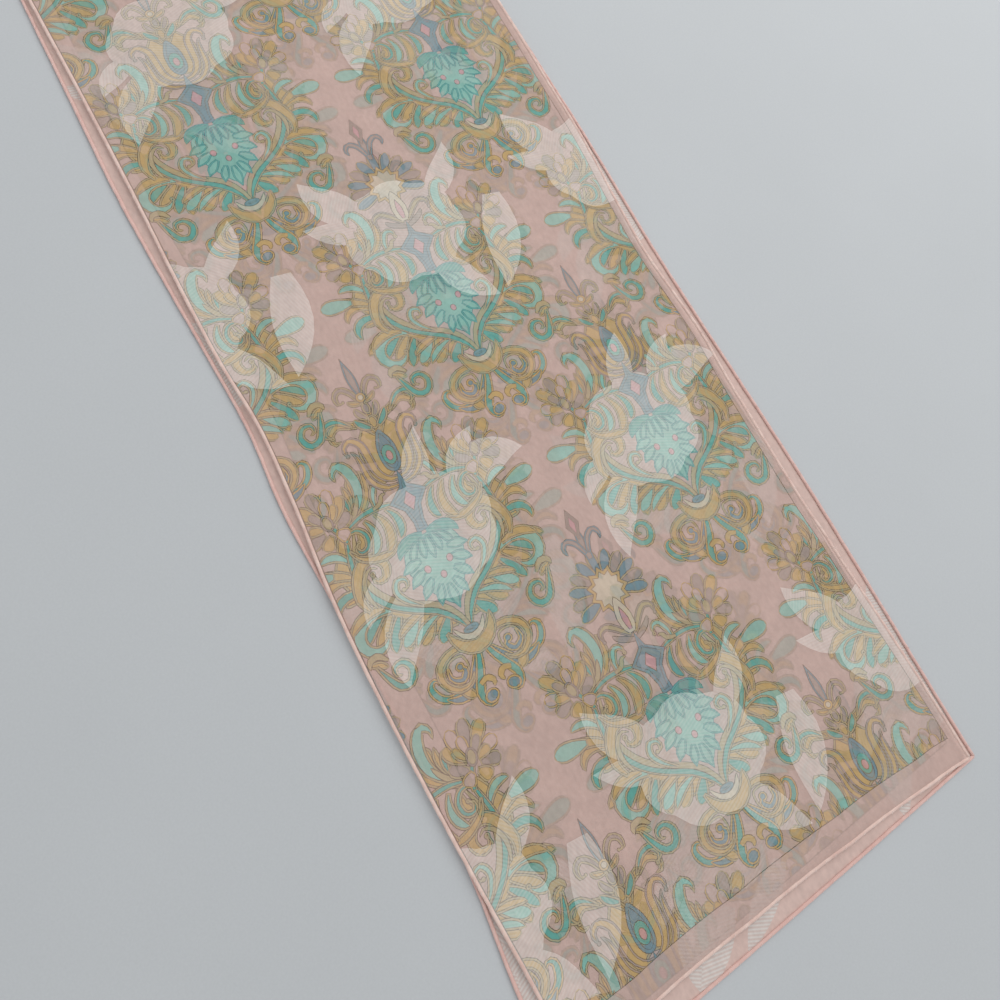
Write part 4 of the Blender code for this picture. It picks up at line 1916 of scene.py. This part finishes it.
@dataclass
class Scarf:
    """The folded scarf: its two layers and their hems."""

    form: ScarfForm = field(default_factory=ScarfForm)
    upper: PrintedCloth = field(default_factory=PrintedCloth)
    lower: PrintedCloth = field(
        default_factory=lambda: PrintedCloth(
            length=800.5, rosette_row=84.5, print_shift=5.5, border_left=122.0, border_right=127.0,
            sprays=SatinSprays(
                head_x=58.0, head_v=236.0,
                lone_leaves=((8, 26, -150, 48, 8, 7.5, 0.34), (-28, 25, -138, 44, -10, 7.5, 0.42)),
            ),
        )
    )
    upper_alpha: float = 0.53
    lower_alpha: float = 0.86
    lower_depth: float = 0.80
    upper_slack: float = 0.14
    lower_slack: float = 0.20
    # painted light: lifts the lower layer's bare ground to offset the shade that it lies in beside and
    # under the upper layer
    lower_ground_painted_light: float = 1.06
    lower_satin: float = 0.46
    lower_ribs: float = 0.5
    width: float = 0.28
    upper_length: float = 0.80
    lower_length: float = 0.80
    hem_inset: float = 0.0010
    hem_start: float = 0.001
    hem_step: float = 0.0035
    side_waver: float = 0.00035
    end_waver: float = 0.0003
    waver_pace: float = 90.0
    end_span: tuple[float, float] = (0.004, 0.996)
    end_points: int = 78
    bend_steps: int = 8

    def build(self, effects: Effects) -> list[bpy.types.Object]:
        """Builds, dresses and attaches every piece of the scarf.

        Args:
            effects: The shared node groups.

        Returns:
            The pieces: both cloths, then their hems.
        """
        plates, ghosts = (
            {crown: MotifPlate(Medallion(crown).contours(), slack) for crown in Crown}
            for slack in (self.upper_slack, self.lower_slack)
        )
        upper = ClothLayer(Layer.UPPER, "upper_chiffon", ("upper_panel", "fold_bend"), self.upper_alpha,
                           self.form, self.upper).build(plates, effects)
        lower = ClothLayer(Layer.LOWER, "lower_chiffon", ("lower_panel",), self.lower_alpha,
                           self.form, self.lower, self.lower_depth, satin_share=self.lower_satin,
                           rib_contrast=self.lower_ribs, bare=self.lower_ground_painted_light).build(ghosts, effects)
        thread = ThreadFinish().material(effects)
        rolls = {
            # painted highlight: the upper roll's first, paler colour stands for light caught along the
            # roll; its second colour is nearer the cloth's own deeper pink, and the two are mixed at random
            Layer.UPPER: HemFinish("upper_roll", srgb(240, 214, 202), srgb(216, 178, 166)),
            Layer.LOWER: HemFinish("lower_roll", srgb(232, 196, 186), srgb(220, 176, 166)),
        }
        hems = {layer: [] for layer in Layer}
        for layer in Layer:
            finishes = [rolls[layer].material(effects), thread]
            for side in (0, 1):
                hems[layer].append(self._side_hem(layer, side, finishes))
            hems[layer].append(self._end_hem(layer, finishes))
        return [upper, lower, *hems[Layer.UPPER], *hems[Layer.LOWER]]

    def _side_hem(
        self, layer: Layer, side: int, finishes: list[bpy.types.Material]
    ) -> bpy.types.Object:
        """Rolls the hem of one long edge; the upper layer's runs on round the fold.

        Args:
            layer: The layer.
            side: 0 for the left edge, 1 for the right.
            finishes: The hem's and the thread's materials.

        Returns:
            The hem's piece.
        """
        form, word = self.form, ("left", "right")[side]
        out = Vector((1.0 if side else -1.0, 0.0, 0.0))
        start = float(form.end_y(layer, np.array([float(side)]))[0]) + self.hem_start
        count = int((form.fold_start - start) / self.hem_step)
        heights = np.linspace(start, form.fold_start, count)
        edges = form.edge_x(layer, side, heights) - out.x * self.hem_inset
        path = []
        for x, y in zip(edges, heights, strict=True):
            wave = self.side_waver * noise.noise(Vector((y * self.waver_pace, side * 5.0, 2.0)))
            z = form.hem_height / 2
            if layer is Layer.UPPER:
                inner = np.array([x - out.x * form.hem_width])
                z = float(form.upper_under(inner, np.array([y]))[0]) + form.cloth - form.hem_height / 2
            path.append(Vector((float(x) - abs(wave) * out.x, float(y), z)))
        nodes = [f"{layer.value}_hem_{word}"]
        if layer is Layer.UPPER:
            nodes.append(f"fold_hem_{word}")
            last, middle = path[-1], form.fold_radius - form.hem_height / 2
            for k in range(1, self.bend_steps + 1):
                turn = math.pi * k / self.bend_steps
                path.append(Vector((last.x, form.fold_start + form.fold_lead + middle * math.sin(turn),
                                    form.fold_radius + middle * math.cos(turn))))
        hem = RolledHem(f"{layer.value}_hem_{word}_rolled", tuple(nodes), form)
        return hem.build(path, [out] * len(path), finishes)

    def _end_hem(self, layer: Layer, finishes: list[bpy.types.Material]) -> bpy.types.Object:
        """Rolls the hem of one near end.

        Args:
            layer: The layer.
            finishes: The hem's and the thread's materials.

        Returns:
            The hem's piece.
        """
        form = self.form
        shares = np.linspace(*self.end_span, self.end_points)
        ends = form.end_y(layer, shares)
        left, right = (form.edge_x(layer, side, ends) for side in (0, 1))
        path = []
        for share, y, x0, x1 in zip(shares, ends, left, right, strict=True):
            x = x0 + (x1 - x0) * share
            z = form.hem_height / 2
            if layer is Layer.UPPER:
                inner = np.array([y + form.hem_width])
                z = float(form.upper_under(np.array([x]), inner)[0]) + form.cloth - form.hem_height / 2
            wave = self.end_waver * abs(noise.noise(Vector((x * self.waver_pace, 7.0, 2.0))))
            path.append(Vector((float(x), float(y) + self.hem_inset + wave, z)))
        node = f"{layer.value}_hem_end"
        hem = RolledHem(f"{node}_rolled", (node,), form)
        return hem.build(path, [Vector((0.0, -1.0, 0.0))] * len(path), finishes)


# --------------------------------------------------------------------- studio


@dataclass
class Studio:
    """The pale top, the soft light and the camera."""

    floor_size: float = 4.0
    floor_drop: float = 0.0002
    sky: Colour = (0.97, 0.985, 1.0)
    sky_strength: float = 0.62
    lamps: tuple[tuple[str, Colour, float, float], ...] = (
        ("window_light", (1.05, 0.5, 1.25), 1.5, 17.0), ("room_light", (-0.8, -0.5, 1.7), 1.8, 1.5),
    )
    eye: tuple[float, float, float] = (-0.1229, -0.1765, 0.3561)
    aim: tuple[float, float, float] = (13.294, -9.152, -29.394)
    lens: float = 23.4
    sensor: float = 36.0
    nearest: float = 0.01

    def floor(self, effects: Effects) -> bpy.types.Object:
        """Lays the top that the scarf rests on.

        Args:
            effects: The shared node groups.

        Returns:
            The top.
        """
        half = self.floor_size / 2
        places = np.array([(x, y, -self.floor_drop) for x, y in
                           ((-half, -half), (half, -half), (half, half), (-half, half))])
        top = piece_from("pale_top", places, [(0, 1, 2, 3)], [TableFinish().material(effects)])
        return top

    def lights(self) -> None:
        """Sets up an even sky and two large soft lamps."""
        world = bpy.data.worlds.new("soft_room")
        world.use_nodes = True
        background = world.node_tree.nodes["Background"]
        background.inputs["Color"].default_value = (*self.sky, 1)
        background.inputs["Strength"].default_value = self.sky_strength
        bpy.context.scene.world = world
        for name, place, size, power in self.lamps:
            lamp = bpy.data.lights.new(name, "AREA")
            lamp.size, lamp.energy = size, power
            holder = bpy.data.objects.new(name, lamp)
            holder.location = place
            holder.rotation_euler = (-Vector(place)).to_track_quat("-Z", "Y").to_euler()
            bpy.context.scene.collection.objects.link(holder)

    def camera(self) -> None:
        """Sets up the camera, nearly straight above the near half."""
        lens = bpy.data.cameras.new("main_camera")
        lens.lens, lens.sensor_width = self.lens, self.sensor
        lens.clip_start = self.nearest
        camera = bpy.data.objects.new("main_camera", lens)
        camera.location = self.eye
        camera.rotation_euler = tuple(math.radians(a) for a in self.aim)
        bpy.context.scene.collection.objects.link(camera)
        bpy.context.scene.camera = camera
        bpy.context.scene.view_settings.view_transform = "Standard"


def main() -> None:
    """Builds the scarf and its studio."""
    logging.basicConfig(level=logging.INFO, format="%(name)s: %(message)s")
    studio = Studio()
    studio.camera()
    effects = Effects()
    for piece in Scarf().build(effects):
        LOG.info("%s: %d points, %d faces", piece.name, len(piece.data.vertices),
                 len(piece.data.polygons))
    studio.floor(effects)
    studio.lights()


if __name__ == "__main__":
    main()
